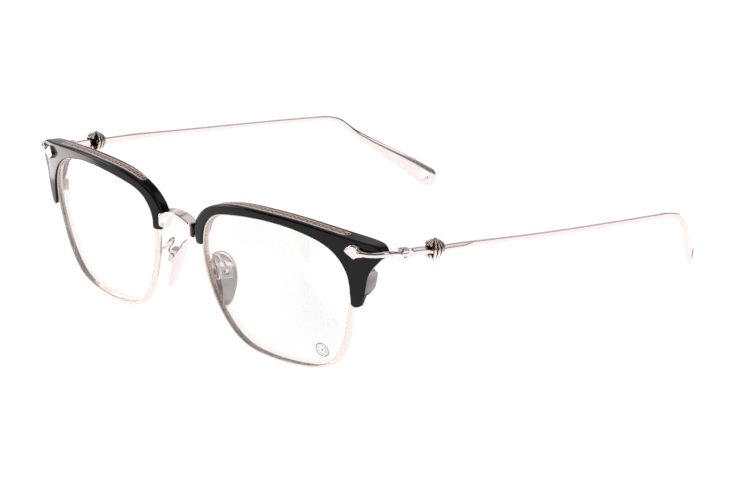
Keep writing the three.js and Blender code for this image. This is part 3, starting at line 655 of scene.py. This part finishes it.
# Rows from the nose leg over the lens to the temple leg: inner edge (u, v), outer edge (u, v),
# depth at the inner and the outer edge, and how far the back is set in from the outer edge.
BROW_ROWS = [
    (-25.7, 8.2, -29, 8.2, 0.9, 0.9, 0), (-25.65, 9.2, -29.2, 9.5, 1.5, 1.5, 0),
    (-25.5, 10.2, -29.2, 10.9, 3, 3, 0), (-24.9, 11.8, -28.7, 12.8, 3.1, 3.1, 0),
    (-23.9, 13.4, -27.3, 14.9, 3.1, 3.1, 0), (-22.3, 15.1, -25.2, 16.8, 3.2, 3.2, 0),
    (-20.1, 16.4, -22.6, 18.3, 3.4, 3.4, 0), (-17.2, 17.4, -19, 19.6, 3.8, 3.8, 0),
    (-12.8, 18.2, -14.2, 20.7, 4.3, 4.3, 0), (-8, 18.8, -8.8, 21.25, 4.6, 4.6, 0),
    (-2, 19.2, -2.4, 21.45, 4.7, 4.7, 0), (4, 19.15, 4.6, 21.4, 4.7, 4.7, 0),
    (9, 18.7, 11, 21.05, 4.7, 4.7, 0), (13.4, 17.9, 17, 20.4, 4.6, 4.7, 0),
    (17.2, 16.8, 23, 19.6, 4.4, 4.8, 0), (20.2, 15.3, 28.8, 18.85, 4.1, 4.9, 0.3),
    (22.1, 13.8, 32.8, 18.3, 3.9, 4.2, 0.7), (23.4, 12.3, 34.4, 17.4, 3.9, 2.8, 0.3),
    (24.2, 11, 34.6, 15.9, 3.9, 2.6, 0.2), (24.8, 9.8, 33.9, 14.3, 3.9, 2.0, 1.8),
    (25.2, 8.6, 32.3, 12.4, 3.6, 2.7, 2.3), (25.4, 7.4, 30.9, 10, 2.6, 4.6, 1.3),
    (25.6, 5.8, 30.2, 7, 1.2, 4.7, 1.1), (25.6, 4.2, 29.65, 4.5, 1.0, 4.7, 1.2),
    (25.65, 3.8, 29.5, 4.05, 0.8, 1.2, 0.4), (25.7, 3.1, 29.1, 3.2, 0.7, 0.8, 0.1),
    (25.7, 1.9, 28.6, 1.8, 0.6, 0.7, 0.1),
]
BROW_SPAN_STEPS = 8
BROW_TOP_ROWS = slice(4, 16)
LIP_DEPTH = 0.95


def brow_face(u):
    return -0.35 - 0.25 * float(smoothstep(18, 29, u))


def brow_rows():
    """The rows, smoothed and with more rows between them; each group of values follows its own curve."""
    table = np.array(BROW_ROWS)
    groups = [table[:, 0:2], table[:, 2:4], table[:, 4:6], np.column_stack([table[:, 6]] * 2)]
    return np.hstack([through(g, BROW_SPAN_STEPS)[:, :2] for g in groups])[:, :7]


def brow_end_rows(row, down, reach_share, squareness):
    """Rows that round off a leg beyond its last full row; a low squareness leaves it nearly flat."""
    middle = (row[0:2] + row[2:4]) / 2
    half = (row[2:4] - row[0:2]) / 2
    reach = np.linalg.norm(half) * reach_share
    out = []
    for degrees in END_TURNS:
        c, s = math.cos(math.radians(degrees)), math.sin(math.radians(degrees)) * reach
        drop = np.array(down) * s
        wide = c ** squareness
        out.append(np.concatenate([middle - half * wide + drop, middle + half * wide + drop, row[4:]]))
    return out


def brow_section(row):
    """The outline of the brow across one row, open on the inside where the eyewire sits."""
    ui, vi, uo, vo, depth_in, depth_out, set_in = row
    width = math.hypot(uo - ui, vo - vi)
    has_lip = float(smoothstep(2.0, 2.7, depth_in))
    notch = min(LIP_DEPTH, width * 0.35)
    lip_x = notch * (1 - has_lip) + 0.15 * has_lip
    front_wall, back_wall = WIRE_FRONT - GROOVE_GAP, min(WIRE_BACK + GROOVE_GAP, depth_in - 0.08)
    back_wall = max(back_wall, front_wall + 0.1)
    face_in, face_out = brow_face(ui), brow_face(uo)
    crisp = float(smoothstep(-15.5, -12, -vo)) * (uo > 0)
    edge = min(0.8, width * 0.3) * (1 - 0.72 * crisp)
    corners = [
        (0, face_in, min(0.28, width * 0.2)), (width, face_out, edge), (width - set_in, depth_out, edge),
        (lip_x, depth_in, 0.02 + 0.35 * has_lip), (lip_x, back_wall, 0.02 + 0.1 * has_lip),
        (notch, back_wall, 0.02), (notch, front_wall, 0.06), (0, front_wall, 0.05),
    ]
    out = []
    for x, depth in rounded(corners):
        share = x / width
        out.append(on_front(ui + (uo - ui) * share, vi + (vo - vi) * share, depth))
    return out


def brow_top_edge():
    return through([row[2:4] for row in BROW_ROWS[BROW_TOP_ROWS]], 40)


INLAY_START, INLAY_END = 0.135, 0.915
INLAY_WIDTH, INLAY_THICKNESS, INLAY_DEPTH = 2.6, 0.5, 2.1
INLAY_GAP, ENGRAVING_DEPTH = 0.12, 0.09


def strip_frame(count, grow):
    """Along the inlay: place on the front, the way out of the brow, half its width and the distance so far.

    A short count, for cutting, lies closer together at the rounded ends."""
    dense = brow_top_edge()
    length = np.linalg.norm(np.diff(dense, axis=0), axis=1).sum()
    points, along = evenly(dense, 2000)
    start, end = INLAY_START * length - grow, INLAY_END * length + grow
    half = INLAY_WIDTH / 2 + grow
    spread = start + (end - start) * (0.5 - 0.5 * np.cos(np.linspace(0, math.pi, count)))
    even = np.linspace(start, end, count)
    ends = smoothstep(0, 3, np.minimum(even - start, end - even))
    at = spread * (1 - ends) + even * ends if count < 200 else even
    out = []
    for distance in at:
        k = min(int(round(distance / length * 1999)), 1999)
        near = min(1, min(distance - start, end - distance) / half)
        narrow = half * math.sqrt(max(0.03, 1 - (1 - near) ** 2))
        out.append((points[k], (-along[k][1], along[k][0]), narrow, distance))
    return out


def strip_cutter():
    sections = []
    for point, away, half, _ in strip_frame(120, INLAY_GAP):
        sections.append([
            on_front(point[0] + away[0] * out, point[1] + away[1] * out, INLAY_DEPTH + across)
            for out, across in ((-0.7, -half), (-0.7, half), (2, half), (2, -half))
        ])
    return loose_object("inlay_recess", *loft(sections))


VINE_PERIOD, VINE_SWING = 3.8, 0.6


def vine(distance, across):
    """How deep the engraved pattern is: bows above and below in turn, each with a group of three leaves."""
    period = VINE_PERIOD
    phase = 2 * math.pi * distance / period
    slope = VINE_SWING * 2 * math.pi / period * math.cos(phase)
    stem = abs(across - VINE_SWING * math.sin(phase)) / math.hypot(1, slope)
    deep = (1 - smoothstep(0.15, 0.27, stem)) * smoothstep(0.2, 0.4, abs(math.sin(phase)))
    bend = round(distance / (period / 2) - 0.5)
    leaf_at = (bend + 0.5) * period / 2
    side = -1 if bend % 2 == 0 else 1
    for shift, radius in ((0.0, 0.3), (0.62, 0.17), (-0.62, 0.17)):
        gap = math.hypot(distance - leaf_at - shift, (across - side * 0.36) * 0.9)
        deep = max(deep, 1 - smoothstep(radius, radius + 0.09, gap))
    return deep


def make_inlay():
    rows, columns = 620, 26
    sections, patina_and_shade_weights = [], []
    for point, away, half, distance in strip_frame(rows, 0):
        section = []
        for c in range(columns):
            share = -1 + 2 * c / (columns - 1)
            across = share * half
            deep = float(vine(distance, across)) * float(1 - smoothstep(0.8, 0.93, abs(across)))
            edge = 0.08 * float(smoothstep(0.9, 1.0, abs(share)))
            out = 0.03 - edge - ENGRAVING_DEPTH * deep
            patina_and_shade_weights.append(deep)
            u, v = point[0] + away[0] * out, point[1] + away[1] * out
            section.append(on_front(u, v, INLAY_DEPTH + across))
        u, v = point[0] - away[0] * INLAY_THICKNESS, point[1] - away[1] * INLAY_THICKNESS
        for share in (1, -1):
            patina_and_shade_weights.append(0)
            section.append(on_front(u, v, INLAY_DEPTH + share * half))
        sections.append(section)
    piece = patina_and_shade_object("brow_strip_left", *loft(sections), patina_and_shade_weights + [0, 0])
    place_pair(finish(piece, ROSE_METAL, 50), "brow_inlay")


# ---------------------------------------------------------------- endpieces and hinges

def cad_hinge():
    """Hinge axis and height, from the left temple's joint."""
    joint = next(j for j in frame["record"]["behaviour"]["joints"] if j["name"] == "temple_fold_left")
    return np.array(joint["pos_m"]) / MM


HINGE = cad_hinge()
FORK_HEIGHT, FORK_RADIUS = 2.7, 1.55
LEAF_INNER, LEAF_OUTER = -0.85, 1.25
TONGUE_HEIGHT, LEAF_GAP = 0.8, 0.24
SCREW_RADIUS, SCREW_GAP, HEAD_RADIUS = 0.55, 0.08, 0.85
SPEAR = [
    (25, 16.1), (26.1, 17.35), (27.2, 18), (28.1, 17.8), (28.8, 17.05), (29.9, 16.5),
    (30, 15.1), (29, 14.85), (28.2, 14.55), (27.6, 14.2), (26.7, 14.75), (25.8, 15.35),
]
SPEAR_MIDDLE = np.array([27.7, 15.95])
# Share of the outline and how far the dome lies below its top there.
SPEAR_DOME = [
    (0.12, 0), (0.3, 0.01), (0.5, 0.03), (0.68, 0.06), (0.84, 0.1), (0.93, 0.15), (0.98, 0.26), (1, 0.5),
]


def strap_path(count):
    x, y, z = HINGE
    points = [
        on_front(28.4, 15.9, -0.9), on_front(31, 15.85, -0.95), on_front(33.2, 16.1, -0.95),
        (70.6, -65.3, z + 1.95), (71, -63.4, z + 1.7), (70.7, -61.3, z + 1),
        (x + 0.9, y - 1.5, z + 0.15), (x, y, z),
    ]
    return evenly(through(points, 24), count)[0]


def strap_shell(name, grow):
    path = strap_path(90)
    share = np.linspace(0, 1, len(path))
    sections = []
    along = np.gradient(path, axis=0)
    for p, a, t in zip(path, along, share):
        _, side, high = directions(a, (0, 0, 1))
        flare = float(smoothstep(0.72, 0.95, t))
        wide, tall = 0.72 + grow, 0.76 + 0.9 * flare + grow
        section = []
        for k in range(20):
            angle = 2 * math.pi * k / 20
            c, s = math.cos(angle), math.sin(angle)
            out, up = wide * math.copysign(abs(c) ** 0.8, c), tall * math.copysign(abs(s) ** 0.9, s)
            section.append(p + out * side + up * high)
        sections.append(section)
    return loose_object(name, *loft(sections))


def spear_shell(name, grow, front, back):
    """The spear-shaped plate: a low dome over its outline."""
    ring = evenly(through(SPEAR, 12, True), 96, True)[0]
    layers = [(scale, front + drop) for scale, drop in SPEAR_DOME] + [(1, back)]
    sections = []
    for scale, depth in layers:
        section = []
        for p in ring:
            from_middle = (p - SPEAR_MIDDLE) * scale
            length = max(np.linalg.norm(from_middle), 1e-6)
            u, v = SPEAR_MIDDLE + from_middle * (1 + grow / length)
            section.append(on_front(u, v, depth))
        sections.append(section)
    return loose_object(name, *loft(sections))


def upright(name, radius, height, x, y, z, edge=0.0, steps=64):
    """An upright round solid with its rims rounded off."""
    profile = []
    for k in range(5 if edge else 1):
        t = math.pi / 2 * k / 4 if edge else 0
        profile.append((radius - edge + edge * math.sin(t), -height / 2 + edge - edge * math.cos(t)))
    profile += [(r, -h) for r, h in reversed(profile)]
    turns = [2 * math.pi * s / steps for s in range(steps)]
    sections = [[(x + r * math.cos(t), y + r * math.sin(t), z + h) for t in turns] for r, h in profile]
    return loose_object(name, *loft(sections))


def block(name, low, high, turn=None):
    """A plain box; turn, if given, takes its corners to their place."""
    ring = ((low[0], low[1]), (high[0], low[1]), (high[0], high[1]), (low[0], high[1]))
    corners = [(x, y, z) for z in (low[2], high[2]) for x, y in ring]
    faces = [(0, 1, 2, 3), (4, 5, 6, 7), (0, 1, 5, 4), (1, 2, 6, 5), (2, 3, 7, 6), (3, 0, 4, 7)]
    if turn is not None:
        corners = [turn(Vector(c)) for c in corners]
    return loose_object(name, corners, faces)


def make_endpiece():
    x, y, z = HINGE
    slot = TONGUE_HEIGHT + 2 * LEAF_GAP
    half = FORK_HEIGHT / 2 - 0.02
    piece = spear_shell("spear_strap_left", 0, -1.62, -0.25)
    leaves = block("leaves", (x + LEAF_INNER, y, z - half), (x + LEAF_OUTER, y + 1.7, z + half))
    fork = upright("fork", FORK_RADIUS, FORK_HEIGHT, x, y, z, 0.18)
    boolean(piece, [strap_shell("strap", 0), fork, leaves], "UNION")
    cutters = [
        upright("slot", FORK_RADIUS + 0.3, slot, x, y, z),
        block("slot_back", (x - 3, y, z - slot / 2), (x + 3, y + 5, z + slot / 2)),
        block("fork_back", (x - 2.5, y + 1.62, z - 3), (x + 2.5, y + 5.6, z + 3)),
        upright("bore", SCREW_RADIUS + SCREW_GAP, FORK_HEIGHT + 2, x, y, z, 0, 40),
        upright("seat", HEAD_RADIUS + SCREW_GAP, 0.8, x, y, z + FORK_HEIGHT / 2 + 0.05, 0, 48),
    ]
    boolean(piece, cutters, "DIFFERENCE")
    place_pair(finish(piece, POLISHED, 38), "endpiece")


def make_hinge_screw():
    x, y, z = HINGE
    top = z + FORK_HEIGHT / 2
    shaft = FORK_HEIGHT - 0.2
    piece = upright("hinge_pin_left", HEAD_RADIUS, 0.3, x, y, top - 0.15, 0.08, 48)
    boolean(piece, [upright("shaft", SCREW_RADIUS, shaft, x, y, top - 0.2 - shaft / 2, 0.05, 32)], "UNION")

    def turn(p):
        return Matrix.Translation((x, y, top)) @ Matrix.Rotation(0.5, 4, "Z") @ p

    boolean(piece, [block("slot", (-1.5, -0.13, -0.14), (1.5, 0.13, 0.3), turn)], "DIFFERENCE")
    place_pair(finish(piece, SCREW_METAL, 30), "hinge_screw")


def make_brow():
    rows = brow_rows()
    nose_end = brow_end_rows(rows[0], (0.08, -1), 0.85, 0.3)[::-1]
    temple_end = brow_end_rows(rows[-1], (-0.25, -0.97), 0.75, 0.85)
    sections = [brow_section(row) for row in [*nose_end, *rows, *temple_end]]
    piece = loose_object("acetate_brow_left", *loft(sections))
    low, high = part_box("rim_lock_left")
    pocket_low = [c / MM - 0.2 for c in low]
    pocket_high = [c / MM + 0.2 for c in high]
    pocket_high[1] += 3
    cutters = [
        strip_cutter(), strap_shell("strap_channel", 0.2), spear_shell("spear_bed", 0.08, -1.9, 0.0),
        block("lock_pocket", pocket_low, pocket_high),
    ]
    boolean(piece, cutters, "DIFFERENCE")
    place_pair(finish(piece, ACETATE, 40), "brow")


# ---------------------------------------------------------------- temples and knots

# The temple from hinge to tip: centre line, half width across, half height.
TEMPLE = [
    (68.85, -57.7, 35.45, 0.62, 0.6), (69, -56.5, 35.4, 0.72, 0.75), (69.15, -55.3, 35.35, 0.75, 1.05),
    (69.35, -53.6, 35.25, 0.75, 1.1), (69.65, -50.5, 35.05, 0.75, 0.95), (70, -49.1, 34.9, 0.85, 0.88),
    (70.5, -47.9, 34.75, 1.4, 0.86), (70.55, -46.6, 34.6, 1.45, 0.86), (70.2, -45.4, 34.4, 0.9, 0.9),
    (70.2, -43.4, 34.2, 0.78, 0.95), (70.55, -36, 33.6, 0.74, 0.85), (70.85, -28, 32.75, 0.66, 0.75),
    (71.15, -18, 31.65, 0.6, 0.62), (71.4, -1.7, 29.85, 0.58, 0.56), (71.2, 20, 27.5, 0.58, 0.56),
    (70.6, 39, 25.4, 0.58, 0.58), (70.2, 45, 24.6, 0.58, 0.62), (69.7, 49.3, 23, 0.58, 0.75),
    (68.5, 54.2, 18.9, 0.58, 0.92), (66.4, 57.3, 16.3, 0.58, 1.2), (63.8, 60.8, 13.5, 0.58, 1.6),
    (59.1, 67.5, 8.3, 0.58, 2.35), (54.9, 73.7, 3.05, 0.58, 3.0),
]
TIP_UP = np.array([-0.226, 0.487, 0.844])
TIP_HOLE_RADIUS = 1.5
ENGRAVED_TO, ENGRAVING_PITCH = -34.0, 0.62


def temple_sections():
    table = np.array(TEMPLE)
    path = through(table[:, :3], 26)
    size = through(np.column_stack([table[:, 3:5], np.zeros(len(table))]), 26)
    share = np.linspace(0, 1, len(path))
    along = np.gradient(path, axis=0)
    along /= np.linalg.norm(along, axis=1)[:, None]
    sections, patina_and_shade_weights = [], []
    run = np.concatenate([[0], np.cumsum(np.linalg.norm(np.diff(path, axis=0), axis=1))])

    def add(point, direction, half_width, half_height, towards_tip, distance):
        up = np.array([0, 0, 1.0]) * (1 - towards_tip) + TIP_UP * towards_tip
        _, side, high = directions(direction, up)
        section = []
        small = min(half_width, half_height)
        fade = float(smoothstep(ENGRAVED_TO - 4, ENGRAVED_TO, point[1]))
        engraved = float(smoothstep(2, 3, distance)) * (1 - fade)
        edge = 0.12 * small + 0.75 * small * engraved
        slant = 0.35 * half_height * towards_tip
        soft = 0.2 * small + slant
        outline = rounded([
            (half_width, -half_height, 0.3 * small), (half_width, half_height - edge - slant, soft),
            (half_width - edge - 0.4 * small * towards_tip, half_height, 0.2 * small),
            (-half_width + small * (0.2 + 0.4 * towards_tip), half_height, 0.2 * small),
            (-half_width, half_height - 0.2 * small - slant, soft), (-half_width, -half_height, 0.3 * small),
        ], 5)
        for k, (across, above) in enumerate(outline):
            deep = 0.0
            if 14 <= k <= 17:
                deep = 0.5 * engraved * (0.5 + 0.5 * math.cos(2 * math.pi * distance / ENGRAVING_PITCH))
            # Points 8 to 10, on the crease between the outer side and the top bevel, are darkened a little
            # where the temple is engraved: a painted dark reflection line.
            elif 8 <= k <= 10:
                deep = 0.22 * engraved
            squash = 1 - 0.03 * deep
            section.append(point + side * across * squash + high * above * squash)
            patina_and_shade_weights.append(deep)
        sections.append(section)

    for p, a, s, t, d in zip(path, along, size, share, run):
        add(p, a, s[0], s[1], float(smoothstep(0.66, 0.84, t)), d)
    last, direction, (end_width, end_height) = path[-1], along[-1], size[-1][:2]
    for degrees in END_TURNS:
        c, s = math.cos(math.radians(degrees)), math.sin(math.radians(degrees))
        end = last + direction * end_height * s
        add(end, direction, end_width * (0.55 + 0.45 * c), end_height * c, 1, run[-1])
    return sections, patina_and_shade_weights, last, direction


def make_temple():
    sections, patina_and_shade_weights, last, direction = temple_sections()
    piece = patina_and_shade_object("temple_bar_left", *loft(sections), patina_and_shade_weights + [0, 0])
    x, y, z = HINGE
    room = upright("room", FORK_RADIUS + 0.35, FORK_HEIGHT + 2, x, y, z)
    boolean(room, [upright("keep", FORK_RADIUS + 1, TONGUE_HEIGHT, x, y, z)], "DIFFERENCE")
    side = directions(direction, TIP_UP)[1]
    centre = last - direction * 1.2
    ends = [centre - side * 3, centre + side * 3]
    hole = loose_object("hole", *loft(tube(ends, TIP_HOLE_RADIUS, 48, direction)))
    boolean(piece, [room], "DIFFERENCE")
    boolean(piece, [upright("tongue", FORK_RADIUS - 0.05, TONGUE_HEIGHT, x, y, z, 0.08)], "UNION")
    half_tongue = TONGUE_HEIGHT / 2
    shoulder = block("shoulder", (x - 0.65, y + 0.2, z - half_tongue), (x + 0.85, y + 1.8, z + half_tongue))
    boolean(piece, [shoulder], "UNION")
    boolean(piece, [upright("bore", SCREW_RADIUS + SCREW_GAP, 6, x, y, z, 0, 40), hole], "DIFFERENCE")
    place_pair(finish(piece, TEMPLE_METAL, 38), "temple")


def knot_frame():
    """Middle, direction along the temple, and the two directions across it, from the CAD knot's box."""
    low, high = (np.array(c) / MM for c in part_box("temple_knot_left"))
    return (low + high) / 2, *directions((0.06, 0.99, -0.12), (0, 0, 1))


# Half sizes of the knot along the temple, across it and upwards, to the crests of its ribs.
KNOT_HALF = np.array([3.2, 2.7, 2.85])
RIB_RADIUS = 0.47
RIB_PITCH = 22.0
CORE_INSET = 0.62
# The ribs leave a window where the temple enters: half its width in degrees and half its height.
WINDOW_ANGLE, WINDOW_HEIGHT = 58, 1.0


def make_knot():
    """A ball of metal ribs that run from pole to pole round a core painted dark as the shade inside the knot,
    with a window for the temple; the ribs are darkened on their flanks as painted shade.
    """
    middle, along, across, high = knot_frame()
    axes = np.array([along, across, high])

    def spot(degrees, latitude, inside):
        """A point inside the crests; 0 degrees faces outwards, 90 to the temple's tip."""
        angle, rise = math.radians(degrees), math.radians(latitude)
        level = math.cos(rise)
        shares = np.array([math.sin(angle) * level, math.cos(angle) * level, math.sin(rise)])
        return middle + ((KNOT_HALF - inside) * shares) @ axes

    shells, patina_and_shade_weights = [], []

    def rib(degrees, low, high_end, radius):
        centre = np.array([spot(degrees, latitude, radius) for latitude in np.linspace(low, high_end, 26)])
        direction = np.gradient(centre, axis=0)
        sections = []
        for k, (p, a) in enumerate(zip(centre, direction)):
            a = unit(a)
            out = p - middle
            out = unit(out - a * float(out @ a))
            side = np.cross(a, out)
            latitude = math.radians(low + (high_end - low) * k / 25)
            blunt = min(1.0, 0.35 + 0.5 * min(k, 25 - k))
            size = radius * blunt * (0.42 + 0.58 * math.cos(latitude) ** 0.8)
            ring = []
            for t in np.arange(14) * 2 * math.pi / 14:
                ring.append(p + size * (math.cos(t) * side * 1.02 + math.sin(t) * out))
                # Painted shade: each rib is dark except along its outward crest.
                patina_and_shade_weights.append(float(1 - smoothstep(0.5, 0.98, math.sin(t))))
            sections.append(ring)
        shells.append(loft(sections))
        # The rib's end caps are partly darkened, as painted shade.
        patina_and_shade_weights.extend((0.6, 0.6))

    edge = math.degrees(math.asin(WINDOW_HEIGHT / KNOT_HALF[2])) + 4
    degrees = -90 + WINDOW_ANGLE + 4
    while degrees < 270 - WINDOW_ANGLE:
        near_exit = abs(degrees - 90) < 24
        for low, top in (((-80, -edge), (edge, 80)) if near_exit else ((-80, 80),)):
            rib(degrees, low, top, RIB_RADIUS)
        degrees += RIB_PITCH
    for degrees in (-123, -101, -79, -57):
        rib(degrees, edge, 80, RIB_RADIUS * 0.95)
        rib(degrees, -80, -edge, RIB_RADIUS * 0.95)
    for pole in (-1, 1):
        heights = [middle + high * pole * h for h in (2.3, 2.5, 2.7, 2.85, 2.95)]
        shells.append(loft(tube(heights, np.array([0.5, 0.55, 0.5, 0.4, 0.2]), 16, along)))
        # The pole knobs are darkened a little, as painted shade.
        patina_and_shade_weights.extend([0.35] * (5 * 16 + 2))

    def turned(p):
        return Vector(middle + across * p.x + along * p.y + high * p.z)

    latitudes = np.linspace(-84, 84, 33)
    rings = [[spot(step * 5, latitude, CORE_INSET) for step in range(72)] for latitude in latitudes]
    painted_shade_core = loose_object("painted_shade_core", *loft(rings))
    reach = KNOT_HALF[1] + 1
    room = block("room", (-reach, -KNOT_HALF[0] - 1, -WINDOW_HEIGHT), (reach, 0.3, WINDOW_HEIGHT), turned)
    boolean(painted_shade_core, [room], "DIFFERENCE")
    painted_shade_core_verts = [tuple(v.co / MM) for v in painted_shade_core.data.vertices]
    shells.append((painted_shade_core_verts, [tuple(f.vertices) for f in painted_shade_core.data.polygons]))
    # The core is painted fully dark, as the shade inside the knot.
    patina_and_shade_weights.extend([1.0] * len(painted_shade_core_verts))
    bpy.data.objects.remove(painted_shade_core)
    verts, faces = [], []
    for part_verts, part_faces in shells:
        start = len(verts)
        verts += part_verts
        faces += [tuple(start + i for i in face) for face in part_faces]
    piece = patina_and_shade_object("cord_knot_left", verts, faces, patina_and_shade_weights)
    place_pair(finish(piece, KNOT_METAL, 60), "temple_knot")


# ---------------------------------------------------------------- bridge and nose pads

PLATE_MIDDLE = 6.175


def make_bridge():
    """An arched bar between the brows with an upright plate at each end."""
    low, high = (np.array(c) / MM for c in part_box("bridge"))
    front = low[1] + 0.05
    arch = [(0, 34.5), (2.3, 34.3), (4.2, 33.8), (5.6, 33.15), (6.3, 32.7)]
    full = [(-x, z) for x, z in reversed(arch[1:])] + arch
    points = through(full, 16)
    outline = rounded([(0, -1.5, 0.4), (2.5, -0.55, 0.35), (2.5, 0.95, 0.45), (0, 0, 0.3)], 5)
    sections = []
    slope = np.gradient(points, axis=0)
    for (x, z), (dx, dz) in zip(points, slope):
        length = math.hypot(dx, dz)
        nx, nz = -dz / length, dx / length
        sections.append([(x + nx * h, front + back, z + nz * h) for back, h in outline])
    piece = loose_object("saddle_bridge", *loft(sections))
    for side in (-1, 1):
        outline = rounded([
            (low[1], 29.3, 1.3), (high[1] - 1.1, low[2], 1.4), (high[1], 30.4, 1.2),
            (high[1] - 0.9, 33.2, 1.0), (low[1], high[2] - 2.1, 0.8),
        ], 8)
        mid = side * PLATE_MIDDLE
        rings = []
        for dx, inset in ((-0.375, 0.14), (-0.32, 0.04), (-0.24, 0), (0.24, 0), (0.32, 0.04), (0.375, 0.14)):
            centre = np.mean(outline, axis=0)
            shrink = 1 - inset / 2
            rings.append([(mid + dx, *(centre + (np.array(p) - centre) * shrink)) for p in outline])
        boolean(piece, [loose_object("plate", *loft(rings))], "UNION")
    finish(piece, POLISHED, 40)
    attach(piece, BODY_OF["bridge"])
    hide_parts("bridge")


PAD_UP = unit(np.array([-0.267, 0.113, 0.957]))
PAD_BACK = unit(np.array([0.44, 0.9, 0.016]))
PAD_LENGTH, PAD_WIDTH = 15.2, 8.2
PAD_CENTRE = np.array([9.6, -67.5, 16.5])
# The top of the pad bends away towards the nose.
PAD_BEND, PAD_BEND_FROM = 0.19, 3.4
# From the middle of its nose side to the middle of its box side: share of the outline and height.
PAD_LAYERS = [
    (0.06, -0.97), (0.2, -0.96), (0.4, -0.92), (0.6, -0.84), (0.78, -0.68), (0.9, -0.47), (0.97, -0.22),
    (1, 0), (0.995, 0.14), (0.97, 0.24), (0.9, 0.26), (0.75, 0.22), (0.5, 0.16), (0.3, 0.13), (0.1, 0.12),
]
# The wire's foot is a small block in the pad box.
PAD_WIRE_RADIUS = 0.42
FOOT_X, FOOT_Y, FOOT_Z = 0.45, 1.8, 1.74
FOOT_HALF, FOOT_HALF_DEPTH = 0.7, 0.5


def pad_point(x, y, z):
    """A point of the nose pad's own frame: x across it, y up it, z out to the box side."""
    out = unit(np.cross(PAD_BACK, PAD_UP))
    up = np.cross(out, PAD_BACK)
    return PAD_CENTRE + PAD_BACK * x + up * y + out * z


def pad_outline(angle, scale):
    s, c = math.sin(angle), math.cos(angle)
    taper = 1 - 0.24 * (1 - s) ** 1.2 / 2
    lean = 0.45 * (1 - s * s)
    x = PAD_WIDTH / 2 * math.copysign(abs(c) ** 0.85, c) * taper + lean
    return x * scale, PAD_LENGTH / 2 * s * scale


def make_nose_pad():
    steps = 96
    sections = []
    for scale, depth in PAD_LAYERS:
        ring = []
        for k in range(steps):
            x, y = pad_outline(2 * math.pi * (k + 0.5) / steps, scale)
            bow = -PAD_BEND * max(0.0, y - PAD_BEND_FROM)
            ring.append(pad_point(x, y, depth + bow))
        sections.append(ring)
    piece = loose_object("pad_plate_left", *loft(sections))
    place_pair(finish(piece, PAD_METAL, 50), "nose_pad")


def make_pad_arm():
    """Wire from the back of the eyewire, up and over, down to a small block inside the pad box."""
    points = [
        on_front(-23.5, -3.4, WIRE_BACK + 0.5), on_front(-24.3, -0.6, WIRE_BACK + 1.2), (10.3, -71, 21.6),
        (9.1, -70.4, 23.5), (9.1, -69.2, 24), (10.3, -68.4, 22.4),
        pad_point(FOOT_X, FOOT_Y + 0.6, 3.7), pad_point(FOOT_X, FOOT_Y, 2.0),
    ]
    path = evenly(through(points, 16), 90)[0]
    piece = loose_object("pad_wire_left", *loft(tube(path, PAD_WIRE_RADIUS, 16, (1, 0, 0.2), 3)))
    size = (FOOT_HALF, FOOT_HALF, FOOT_HALF_DEPTH)

    def turn(p):
        return pad_point(FOOT_X + p.x, FOOT_Y + p.y, FOOT_Z + p.z)

    boolean(piece, [block("foot", [-c for c in size], size, turn)], "UNION")
    place_pair(finish(piece, POLISHED, 38), "pad_arm")


def dress_small_parts():
    """Small CAD parts keep their own shape, with softened edges and a finer finish."""
    metals = {
        "pad_box": BOX_METAL, "pad_screw": SCREW_METAL, "rim_lock": POLISHED, "rim_lock_screw": SCREW_METAL,
    }
    for name, item in frame["nodes"].items():
        material = metals.get(name.rsplit("_", 1)[0])
        if material is None:
            continue
        item.data.materials.clear()
        item.data.materials.append(material)
        bevel = item.modifiers.new("soft_edges", "BEVEL")
        bevel.width = 0.07 * MM if "screw" in name else 0.22 * MM
        bevel.segments = 3
        bevel.limit_method = "ANGLE"
        bevel.angle_limit = math.radians(40)
        bevel.harden_normals = True


# ---------------------------------------------------------------- everything

make_eyewire()
make_lens()
make_lens_mark()
make_brow()
make_inlay()
make_endpiece()
make_hinge_screw()
make_temple()
make_knot()
make_bridge()
make_nose_pad()
make_pad_arm()
dress_small_parts()
